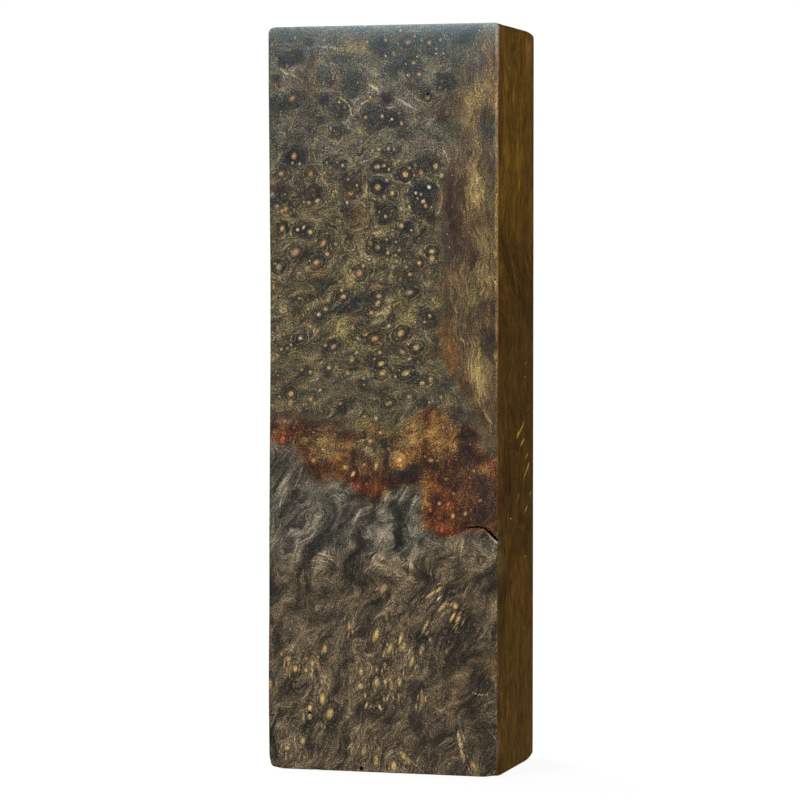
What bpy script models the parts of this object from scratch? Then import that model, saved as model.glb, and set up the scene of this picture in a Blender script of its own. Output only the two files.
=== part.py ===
"""Stabilized amboyna burl block.

One piece of resin-hardened burl, sawn square and sanded, standing on an end.
Metres, +Z up. The origin is the middle of the bottom end. The burl-figured
broad face looks along -Y and the golden edge-grain face along +X.
"""
import math

import bmesh
import bpy
from mathutils import Vector

MM = 0.001

# Driving dimensions of the sawn block.
WIDTH = 40 * MM
THICKNESS = 25 * MM
HEIGHT = 125 * MM

# The left side was sanded a little hollow. It reaches the full width only at
# a slight swell near the bottom.
HOLLOW_DEPTH = 0.28 * MM
HOLLOW_MIDDLE = 78 * MM
HOLLOW_REACH = 44 * MM
SWELL_HEIGHT = 0.12 * MM
SWELL_MIDDLE = 14 * MM
SWELL_REACH = 17 * MM
SIDE_STATIONS = 24

# Edge breaks left by the sanding block. The two upright arrises on the back
# are eased more than the two on the front.
ARRIS_BREAK = 0.30 * MM
FAR_ARRIS_BREAK = 0.45 * MM
TOP_RIM_BREAK = 0.70 * MM
TOP_LEFT_BREAK = 1.10 * MM
BOTTOM_RIM_BREAK = 0.45 * MM
BREAK_SEGMENTS = 3

# The open crack that runs off the front face's right arris and onto the right
# side. Each station: millimetres from the left edge, millimetres above the
# bottom, half the width, the worn lip on the lower side, and the depth.
CRACK = (
    (34.3, 41.38, 0.05, 0.00, 0.5),
    (35.5, 41.56, 0.10, 0.00, 0.9),
    (36.7, 41.65, 0.11, 0.00, 1.3),
    (37.8, 41.45, 0.15, 0.10, 2.0),
    (38.5, 40.85, 0.24, 0.22, 2.6),
    (39.3, 40.12, 0.28, 0.26, 3.2),
    (40.0, 39.45, 0.26, 0.24, 3.8),
    (40.7, 38.80, 0.26, 0.24, 3.8),
)
LIP_DEPTH = 0.28 * MM
CUTTER_OVERSHOOT = 0.5 * MM

# Small open pits in the front face: millimetres from the left edge and above
# the bottom, then the radii across, up and into the wood.
PITS = (
    (27.9, 113.4, 0.24, 0.27, 0.55),
    (12.1, 111.1, 0.20, 0.18, 0.40),
    (7.35, 9.70, 0.34, 0.20, 0.60),
    (0.75, 9.00, 0.42, 0.17, 0.40),
    (2.30, 8.25, 0.20, 0.20, 0.35),
    (32.5, 11.2, 0.24, 0.16, 0.35),
    (16.4, 0.62, 0.36, 0.36, 0.70),
)

# Shallow scoops where an edge has chipped or was sanded down: the middle of
# each, across, into the thickness and up from the block's corner at the
# bottom of the front left arris, then its radii on the same axes.
EDGE_SCOOPS = (
    (11.2, 0.0, 125.28, 2.20, 1.60, 0.50),
    (3.10, 0.0, 125.40, 3.20, 1.80, 0.60),
    (8.30, 0.0, -0.10, 0.90, 0.80, 0.28),
    (1.20, 0.0, -0.12, 1.30, 0.80, 0.34),
    (40.1, -0.1, 5.00, 0.42, 0.42, 1.15),
    (40.0, 6.0, 125.30, 1.10, 3.00, 0.52),
)


def clear_scene():
    """Remove whatever the scene holds before modelling."""
    for existing in list(bpy.data.objects):
        bpy.data.objects.remove(existing, do_unlink=True)


def on_front(across_mm, up_mm):
    """World point on the front face, from millimetres along it."""
    return Vector((across_mm * MM - WIDTH / 2, -THICKNESS / 2, up_mm * MM))


def hump(position, middle, reach):
    """A smooth rise from 0 at the reach to 1 at the middle."""
    offset = abs(position - middle) / reach
    if offset >= 1:
        return 0.0
    return 0.5 + 0.5 * math.cos(math.pi * offset)


def left_side_shift(height):
    """How far the left side lies from flat at a height, inwards positive."""
    hollow = HOLLOW_DEPTH * hump(height, HOLLOW_MIDDLE, HOLLOW_REACH)
    swell = SWELL_HEIGHT * hump(height, SWELL_MIDDLE, SWELL_REACH)
    return hollow + SWELL_HEIGHT - swell


def edge_break(edge):
    """The width of the sanded break on one edge of the block."""
    start, end = (vertex.co for vertex in edge.verts)
    middle = (start + end) / 2
    if middle.z < MM:
        return BOTTOM_RIM_BREAK
    if middle.z > HEIGHT - MM:
        return TOP_LEFT_BREAK if middle.x < MM - WIDTH / 2 else TOP_RIM_BREAK
    return FAR_ARRIS_BREAK if middle.y > 0 else ARRIS_BREAK


def make_block_mesh():
    """The sawn block, with its side sanded hollow and its edges weighted."""
    shape = bmesh.new()
    bmesh.ops.create_cube(shape, size=1)
    bmesh.ops.scale(shape, vec=(WIDTH, THICKNESS, HEIGHT), verts=shape.verts)
    bmesh.ops.translate(shape, vec=(0, 0, HEIGHT / 2), verts=shape.verts)

    left_face = next(face for face in shape.faces if face.normal.x < -0.5)
    uprights = [edge for edge in left_face.edges
                if abs(edge.verts[0].co.z - edge.verts[1].co.z) > MM]
    bmesh.ops.subdivide_edges(shape, edges=uprights, cuts=SIDE_STATIONS)
    for vertex in shape.verts:
        if vertex.co.x < 0:
            vertex.co.x += left_side_shift(vertex.co.z)

    widest = max(ARRIS_BREAK, FAR_ARRIS_BREAK, TOP_RIM_BREAK, TOP_LEFT_BREAK,
                 BOTTOM_RIM_BREAK)
    weight = shape.edges.layers.float.new("bevel_weight_edge")
    for edge in shape.edges:
        if edge.calc_face_angle(0) > math.radians(45):
            edge[weight] = edge_break(edge) / widest

    mesh = bpy.data.meshes.new("burl_block")
    shape.to_mesh(mesh)
    shape.free()
    return mesh, widest


def crack_ring(shape, stations, index):
    """The crack's cross-section at one station, as a ring of edges."""
    across, up, half_width, lip, depth = stations[index]
    before = stations[max(index - 1, 0)]
    after = stations[min(index + 1, len(stations) - 1)]
    along = Vector((after[0] - before[0], 0, after[1] - before[1])).normalized()
    over = Vector((-along.z, 0, along.x))
    inward = Vector((0, 1, 0))
    middle = on_front(across, up)
    half_width *= MM
    depth *= MM
    lip_width = half_width + lip * MM
    outside = -CUTTER_OVERSHOOT
    flare = CUTTER_OVERSHOOT / LIP_DEPTH * lip * MM
    corners = (
        middle + over * half_width + inward * outside,
        middle + over * half_width * 0.8 + inward * LIP_DEPTH,
        middle + inward * depth,
        middle - over * half_width * 0.8 + inward * LIP_DEPTH,
        middle - over * (lip_width + flare) + inward * outside,
    )
    vertices = [shape.verts.new(corner) for corner in corners]
    return [shape.edges.new((vertices[i - 1], vertices[i]))
            for i in range(len(vertices))]


def make_crack_mesh():
    """A cutter for the crack: cross-sections bridged along its run."""
    shape = bmesh.new()
    rings = [crack_ring(shape, CRACK, index) for index in range(len(CRACK))]
    for ring, following in zip(rings, rings[1:]):
        bmesh.ops.bridge_loops(shape, edges=ring + following)
    bmesh.ops.holes_fill(shape, edges=rings[0] + rings[-1])
    bmesh.ops.recalc_face_normals(shape, faces=shape.faces)
    mesh = bpy.data.meshes.new("crack_cutter")
    shape.to_mesh(mesh)
    shape.free()
    return mesh


def make_scoop_mesh(name, middle, radii, subdivisions):
    """A cutter shaped as a stretched ball."""
    shape = bmesh.new()
    bmesh.ops.create_icosphere(shape, subdivisions=subdivisions, radius=1)
    bmesh.ops.scale(shape, vec=radii, verts=shape.verts)
    bmesh.ops.translate(shape, vec=middle, verts=shape.verts)
    mesh = bpy.data.meshes.new(name)
    shape.to_mesh(mesh)
    shape.free()
    return mesh


def make_burl_material():
    """Satin, resin-filled burl, brown between its dark and golden parts."""
    material = bpy.data.materials.new("stabilized_burl")
    material.use_nodes = True
    shader = material.node_tree.nodes["Principled BSDF"]
    shader.inputs["Base Color"].default_value = (0.085, 0.060, 0.036, 1)
    shader.inputs["Roughness"].default_value = 0.42
    shader.inputs["Metallic"].default_value = 0.0
    return material


def add_cutter(collection, mesh):
    """Place a cutter out of sight of any render."""
    cutter = bpy.data.objects.new(mesh.name, mesh)
    cutter.display_type = 'WIRE'
    cutter.hide_render = True
    collection.objects.link(cutter)


def make_cutters():
    """The crack, the pits and the edge scoops, gathered in one collection."""
    cutters = bpy.data.collections.new("cutters")
    bpy.context.scene.collection.children.link(cutters)
    add_cutter(cutters, make_crack_mesh())
    for number, (across, up, *radii) in enumerate(PITS, start=1):
        radius_across, radius_up, radius_in = (radius * MM for radius in radii)
        add_cutter(cutters, make_scoop_mesh(
            f"pit_cutter_{number}", on_front(across, up),
            (radius_across, radius_in, radius_up), 2))
    corner = on_front(0, 0)
    for number, (across, inwards, up, *radii) in enumerate(EDGE_SCOOPS, start=1):
        middle = corner + Vector((across, inwards, up)) * MM
        add_cutter(cutters, make_scoop_mesh(
            f"scoop_cutter_{number}", middle, [radius * MM for radius in radii], 3))
    return cutters


def make_block():
    """The finished block, with its edge breaks and cuts left as modifiers."""
    mesh, widest_break = make_block_mesh()
    block = bpy.data.objects.new("burl_block", mesh)
    bpy.context.scene.collection.objects.link(block)
    mesh.materials.append(make_burl_material())

    breaks = block.modifiers.new("edge_breaks", 'BEVEL')
    breaks.limit_method = 'WEIGHT'
    breaks.width = widest_break
    breaks.segments = BREAK_SEGMENTS

    cuts = block.modifiers.new("crack_pits_and_scoops", 'BOOLEAN')
    cuts.operation = 'DIFFERENCE'
    cuts.solver = 'EXACT'
    cuts.operand_type = 'COLLECTION'
    cuts.collection = make_cutters()
    return block


def main():
    clear_scene()
    make_block()


main()
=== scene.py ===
"""The looks of a stabilized amboyna burl block.

The block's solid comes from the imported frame. A copy of it, cut into small
cells, carries the burl's figure as attributes: which way the grain runs, how
pale or dark each patch is, and where the bud eyes and the pale strands lie.
The material draws the grain, the eyes and the strands from them. Lengths on
the block's sides are in millimetres.
"""
import math
import random

import bmesh
import bpy
import numpy as np
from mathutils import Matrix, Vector, noise


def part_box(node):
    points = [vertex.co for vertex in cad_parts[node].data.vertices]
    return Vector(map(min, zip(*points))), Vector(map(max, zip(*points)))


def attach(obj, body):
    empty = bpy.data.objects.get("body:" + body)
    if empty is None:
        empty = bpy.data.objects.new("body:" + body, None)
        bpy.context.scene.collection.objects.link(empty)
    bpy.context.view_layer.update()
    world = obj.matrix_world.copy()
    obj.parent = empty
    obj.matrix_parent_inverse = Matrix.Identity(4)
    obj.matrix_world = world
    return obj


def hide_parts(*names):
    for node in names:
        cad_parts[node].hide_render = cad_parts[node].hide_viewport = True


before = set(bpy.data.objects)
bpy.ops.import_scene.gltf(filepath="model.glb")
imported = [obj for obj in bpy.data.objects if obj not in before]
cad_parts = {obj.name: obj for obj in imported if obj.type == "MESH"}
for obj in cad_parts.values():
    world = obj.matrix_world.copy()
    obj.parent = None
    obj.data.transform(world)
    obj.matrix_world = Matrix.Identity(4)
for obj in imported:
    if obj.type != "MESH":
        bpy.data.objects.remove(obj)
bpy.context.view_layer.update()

# The noise's offsets come from the clock unless it is seeded.
noise.seed_set(1)

MM = 0.001
BLOCK = "burl_block"
LOW, HIGH = (np.array(corner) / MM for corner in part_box(BLOCK))
WIDTH, THICKNESS, HEIGHT = HIGH - LOW

# Cells that the block's surface is cut into. The front face has the finest.
FRONT_CELL = 0.325
OTHER_CELL = 2 * FRONT_CELL
CUT_SLACK = 1e-8
# How far the sanded left side lies inside the block's box.
SIDE_HOLLOW = 0.42
# The back's top and bottom edges are worn round: how far in from the back the
# wear starts, how far up or down it is felt, and how much it takes off.
WEAR_START = 5.0
WEAR_REACH = 6.0
WEAR_TOP = 0.4
WEAR_BOTTOM = 0.8
# The front's two bottom corners are worn too.
CORNER_REACH = 2.6
CORNER_WEAR = 0.45
EYE_LAYERS = 3
STRAND_LAYERS = 2

# The block's six sides: the corner where millimetres are counted from, the
# way across and the way up the side, and the way it faces.
SIDES = {
    "front": ((-1, -1, -1), (1, 0, 0), (0, 0, 1), (0, -1, 0)),
    "right": ((1, -1, -1), (0, 1, 0), (0, 0, 1), (1, 0, 0)),
    "back": ((1, 1, -1), (-1, 0, 0), (0, 0, 1), (0, 1, 0)),
    "left": ((-1, 1, -1), (0, -1, 0), (0, 0, 1), (-1, 0, 0)),
    "top": ((-1, -1, 1), (1, 0, 0), (0, 1, 0), (0, 0, 1)),
    "bottom": ((-1, 1, -1), (1, 0, 0), (0, -1, 0), (0, 0, -1)),
}

# Paired shades of the wood: the deep and the pale one of each kind, in the
# screen's 0 to 255 values.
WOODS = {
    "burl": ((15, 16, 16), (142, 127, 93)),
    "slate": ((22, 30, 38), (145, 142, 129)),
    "inky": ((12, 20, 28), (92, 98, 94)),
    "olive": ((30, 27, 12), (148, 134, 82)),
    "umber": ((28, 20, 14), (140, 111, 72)),
    "plum": ((30, 16, 15), (104, 75, 60)),
    "straw": ((52, 40, 22), (176, 150, 94)),
    "rust": ((27, 8, 5), (132, 77, 27)),
    "ember": ((56, 16, 7), (164, 84, 34)),
    "amber": ((54, 30, 11), (170, 124, 58)),
    "silver": ((13, 14, 14), (134, 124, 105)),
    "smoke": ((14, 11, 8), (142, 121, 89)),
    "gold": ((28, 17, 1), (164, 118, 14)),
    "moss": ((26, 16, 1), (118, 81, 6)),
    "bark": ((24, 15, 2), (126, 93, 26)),
    "russet": ((32, 10, 1), (138, 74, 10)),
}

# Colours of the bud eyes.
EYE_SHADES = {
    "cream": (182, 164, 126),
    "wheat": (186, 157, 104),
    "tan": (162, 135, 94),
    "gold": (178, 148, 92),
    "orange": (170, 130, 84),
    "ember": (160, 84, 44),
    "pink": (156, 128, 100),
    "white": (200, 198, 180),
    "dusk": (108, 93, 72),
    "olive": (150, 134, 76),
    "honey": (158, 126, 40),
}


def linear(shade):
    """A screen colour from 0 to 255 as linear light."""
    values = np.asarray(shade, float) / 255
    return np.where(values <= 0.04045, values / 12.92, ((values + 0.055) / 1.055) ** 2.4)


def smooth(low, high, values):
    """A soft step from 0 at low to 1 at high."""
    t = np.clip((values - low) / (high - low), 0, 1)
    return t * t * (3 - 2 * t)


def wander(points, scale, seed):
    """A smooth random offset for every point, on the given scale."""
    shift = Vector((seed * 13.7, seed * 7.1, seed * 3.3))
    return np.array([noise.noise_vector(Vector(point) / scale + shift)
                     for point in points])


def on_side(points, side):
    """Millimetres across and up a side, for points on the block."""
    corner, across, up, _ = SIDES[side]
    start = np.where(np.array(corner) > 0, HIGH, LOW)
    offset = points - start
    return offset @ np.array(across), offset @ np.array(up)


def within(across, up, mark):
    """How far each point lies from a stretched mark's middle, 1 at its edge."""
    middle_across, middle_up, radius_across, radius_up, tilt = mark[:5]
    turn = math.radians(tilt)
    a = across - middle_across
    b = up - middle_up
    along = (a * math.cos(turn) + b * math.sin(turn)) / radius_across
    over = (b * math.cos(turn) - a * math.sin(turn)) / radius_up
    return np.hypot(along, over)


def inside(across, up, outline, soft):
    """1 inside a closed outline and 0 outside, softened over a distance."""
    corners = np.array(outline, float)
    nearest = np.full(across.shape, 1e9)
    crossed = np.zeros(across.shape, bool)
    for start, end in zip(corners, np.roll(corners, -1, axis=0)):
        edge = end - start
        t = ((across - start[0]) * edge[0] + (up - start[1]) * edge[1]) / (edge @ edge)
        t = np.clip(t, 0, 1)
        away = np.hypot(across - start[0] - t * edge[0], up - start[1] - t * edge[1])
        nearest = np.minimum(nearest, away)
        if start[1] != end[1]:
            spans = (start[1] > up) != (end[1] > up)
            reach = start[0] + (up - start[1]) * edge[0] / edge[1]
            crossed ^= spans & (across < reach)
    signed = np.where(crossed, nearest, -nearest)
    return smooth(-soft, soft, signed)


# The white sky's strength: as the camera sees it, as light, and in gloss.
SKY_SEEN = 1.02
SKY_LIGHT = 0.35
SKY_GLOSS = 0.02

# The floor fades out towards this distance, in metres.
FLOOR_REACH = 0.45

# How far the bands of wood may wander between the front and the back, and how
# tightly neighbouring rings merge.
ZONE_DRIFT = 5.0
RING_MERGE = 2.2

# Up to where the lower wood reaches, and how much longer, wider and dimmer its
# eyes look than those listed.
LOWER_TOP = 36
LONGER = 1.25
WIDER = 1.15
DIMMER = 0.9
# How far silky wood's texture turns from grains to fibres.
SILK = 1.2

# The front face. Everything is placed in millimetres across from the left
# edge and up from the bottom. A mark is its middle, its two radii and its
# tilt in degrees, turned from level towards up.

# The vertical-grained strip on the right.
STRIP_OUTLINE = (
    (36.5, 128), (35.2, 122), (33.6, 117), (33.2, 111), (32.2, 106), (31.6, 100),
    (30.6, 93), (30.4, 84), (30.6, 76), (30.8, 70), (33.0, 66.5), (35.5, 61), (38.0, 56),
    (44, 52), (44, 128),
)
# The band stained orange and red-brown.
RUST_OUTLINE = (
    (-2, 60.0), (3, 60.2), (7, 59.4), (11, 58.6), (14, 57.5), (18, 58.4), (22, 57.2),
    (25.5, 60.2), (29, 61.6), (32, 61.0), (33.6, 58.6), (36.4, 58.4), (38, 54), (44, 51),
    (44, 39.6), (40, 40.2), (37.6, 41.0), (34.5, 40.6), (32.0, 39.6), (29.2, 40.2),
    (27.2, 41.6), (26.7, 45.0), (27.2, 48.2), (24.0, 48.6), (21.2, 47.6), (19.4, 45.4),
    (16.8, 46.2), (14.6, 48.2), (12.0, 49.6), (8.6, 49.0), (6.4, 51.2), (4.0, 54.2), (-2, 56),
)
# The silver and black wood below it.
SILVER_OUTLINE = (
    (-2, 56.5), (4.0, 54.2), (6.4, 51.2), (8.6, 49.0), (12.0, 49.6), (14.6, 48.2),
    (16.8, 46.2), (19.4, 45.4), (21.2, 47.6), (24.0, 48.6), (27.2, 48.2), (26.7, 45.0),
    (27.2, 41.6), (29.2, 40.2), (32.0, 39.6), (34.5, 40.6), (37.6, 41.0), (44, 39.0),
    (44, -2), (-2, -2),
)

# Ring centres of the burl: the grain runs round each of these.
CLUSTERS = (
    (4.2, 119.8, 2.6, 2.0, 15), (10.0, 116.6, 2.0, 2.3, 0), (1.3, 116.4, 1.3, 1.1, 0),
    (12.8, 111.2, 2.2, 2.1, 0), (18.7, 109.6, 2.9, 2.6, 10), (15.8, 121.8, 2.5, 1.5, 0),
    (20.3, 121.5, 2.2, 2.4, 0), (24.8, 121.8, 2.3, 1.8, 0), (29.2, 121.4, 2.4, 2.0, 0),
    (25.6, 117.6, 2.2, 2.0, 0), (30.8, 115.6, 2.3, 2.2, 0), (27.6, 113.6, 1.8, 1.6, 0),
    (15.2, 115.2, 2.8, 2.6, 0), (22.6, 109.3, 2.4, 1.8, 0), (4.4, 112.8, 2.6, 2.0, 10),
    (5.6, 107.5, 2.8, 1.8, 0), (12.2, 107.3, 2.2, 1.6, 0), (5.0, 103.0, 2.6, 2.1, 0),
    (2.4, 100.4, 1.9, 1.4, 0), (7.7, 100.3, 1.8, 1.7, 0), (12.9, 101.8, 1.8, 1.5, 0),
    (14.8, 98.5, 2.3, 2.4, 0), (8.2, 96.9, 2.3, 1.8, 0), (3.0, 96.5, 2.2, 2.2, 0),
    (6.2, 91.0, 2.6, 1.6, 0), (2.6, 91.2, 1.6, 1.7, 0), (9.9, 89.3, 1.9, 1.9, 0),
    (4.9, 87.2, 2.2, 1.6, 35), (19.8, 101.5, 2.3, 1.4, 0), (21.4, 104.2, 2.6, 1.3, 0),
    (24.1, 100.2, 2.1, 1.9, 0), (27.6, 101.6, 2.6, 1.9, 0), (19.5, 98.1, 1.8, 1.5, 0),
    (21.9, 97.0, 1.4, 1.5, 0), (27.2, 96.0, 3.0, 3.2, 0), (21.2, 93.6, 2.2, 1.8, 0),
    (24.2, 91.4, 1.6, 1.4, 0), (19.3, 88.2, 2.4, 2.0, 0), (24.0, 88.4, 3.2, 2.4, 0),
    (28.3, 86.9, 1.9, 2.0, 0), (2.0, 84.8, 1.7, 1.5, 0), (9.0, 85.9, 2.0, 1.6, 0),
    (16.1, 83.9, 2.0, 1.6, 0), (25.0, 82.6, 2.8, 2.6, 0), (13.2, 80.0, 2.4, 1.4, 25),
    (19.3, 79.4, 2.2, 1.7, 30), (9.6, 77.4, 2.6, 1.3, 30), (28.3, 76.4, 2.4, 2.1, 0),
    (23.5, 73.7, 2.3, 1.6, 38), (18.6, 72.6, 2.6, 1.9, 30), (5.8, 72.9, 2.4, 1.7, 30),
    (2.4, 70.9, 1.9, 1.5, 0), (11.4, 71.8, 2.4, 1.3, 32), (26.0, 71.2, 2.2, 1.5, 25),
    (20.1, 67.9, 2.4, 1.7, 30), (10.8, 67.7, 2.4, 1.3, 35), (14.6, 69.2, 1.7, 1.7, 0),
    (24.3, 67.0, 2.2, 1.6, 20), (27.6, 65.8, 2.2, 1.7, 15), (4.2, 62.9, 2.0, 2.2, -15),
    (9.0, 63.6, 2.0, 1.3, 35), (20.6, 62.2, 2.4, 1.2, 20), (5.5, 78.5, 2.6, 1.6, 25),
    (30.2, 57.5, 3.0, 2.6, 0), (26.2, 58.4, 2.6, 1.6, 20), (24.0, 53.2, 2.8, 1.8, 20),
    (18.6, 56.0, 2.0, 1.8, 0), (10.4, 55.2, 2.6, 2.4, 20), (9.0, 52.2, 1.8, 1.4, 0),
    (18.8, 51.6, 1.8, 1.8, 0), (14.6, 50.6, 1.6, 1.8, -20), (17.4, 48.0, 1.8, 1.4, 0),
    (28.6, 52.4, 2.2, 1.8, 0), (32.8, 52.4, 2.4, 2.0, 0), (31.0, 48.4, 2.4, 2.0, 20),
    (35.2, 49.2, 2.2, 2.4, 0), (28.6, 44.4, 1.6, 1.8, 0), (31.8, 44.4, 1.8, 2.4, -10),
    (35.4, 45.0, 2.0, 1.8, 0), (30.4, 41.0, 1.4, 1.2, 0), (35.0, 55.8, 2.0, 2.6, 0),
    (2.6, 56.6, 2.2, 2.0, -10), (16.4, 59.4, 2.2, 1.2, 15), (6.4, 66.4, 2.0, 1.4, 30),
    (16.6, 65.4, 2.0, 1.2, 20), (28.8, 62.4, 2.2, 1.4, 20), (13.6, 61.8, 2.0, 1.2, 25),
    (24.6, 62.8, 1.8, 1.2, 20), (1.6, 66.6, 1.8, 1.6, 0), (1.6, 75.0, 1.8, 1.6, 0),
    (28.8, 79.8, 1.8, 1.6, 0), (23.6, 77.6, 1.8, 1.6, 0), (14.8, 74.6, 1.8, 1.8, 0),
)

# Fans in the lower wood, where the grain curves round in rings.
FANS = (
    (10.2, 37.6, 4.0, 3.2, 20), (23.4, 32.6, 3.6, 2.6, 20), (36.4, 36.0, 3.4, 2.6, 0),
    (37.6, 29.6, 2.4, 3.6, 0), (6.2, 24.6, 3.0, 2.4, 0), (17.0, 19.6, 2.4, 2.4, 0),
    (23.6, 26.6, 2.6, 2.2, 10), (33.6, 16.6, 2.4, 1.6, 0), (12.6, 46.0, 3.2, 2.4, -20),
    (24.2, 42.6, 2.0, 3.0, 10), (5.2, 46.4, 2.4, 2.0, 0), (29.2, 38.4, 2.6, 2.0, 0),
    (3.4, 36.0, 2.4, 2.0, 0), (13.0, 9.0, 2.6, 2.2, 0), (27.6, 7.4, 2.4, 2.0, 0),
    (36.6, 7.6, 2.2, 2.8, 10), (9.4, 30.0, 2.4, 1.8, 0), (17.6, 40.4, 2.0, 2.6, 0),
)

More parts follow.
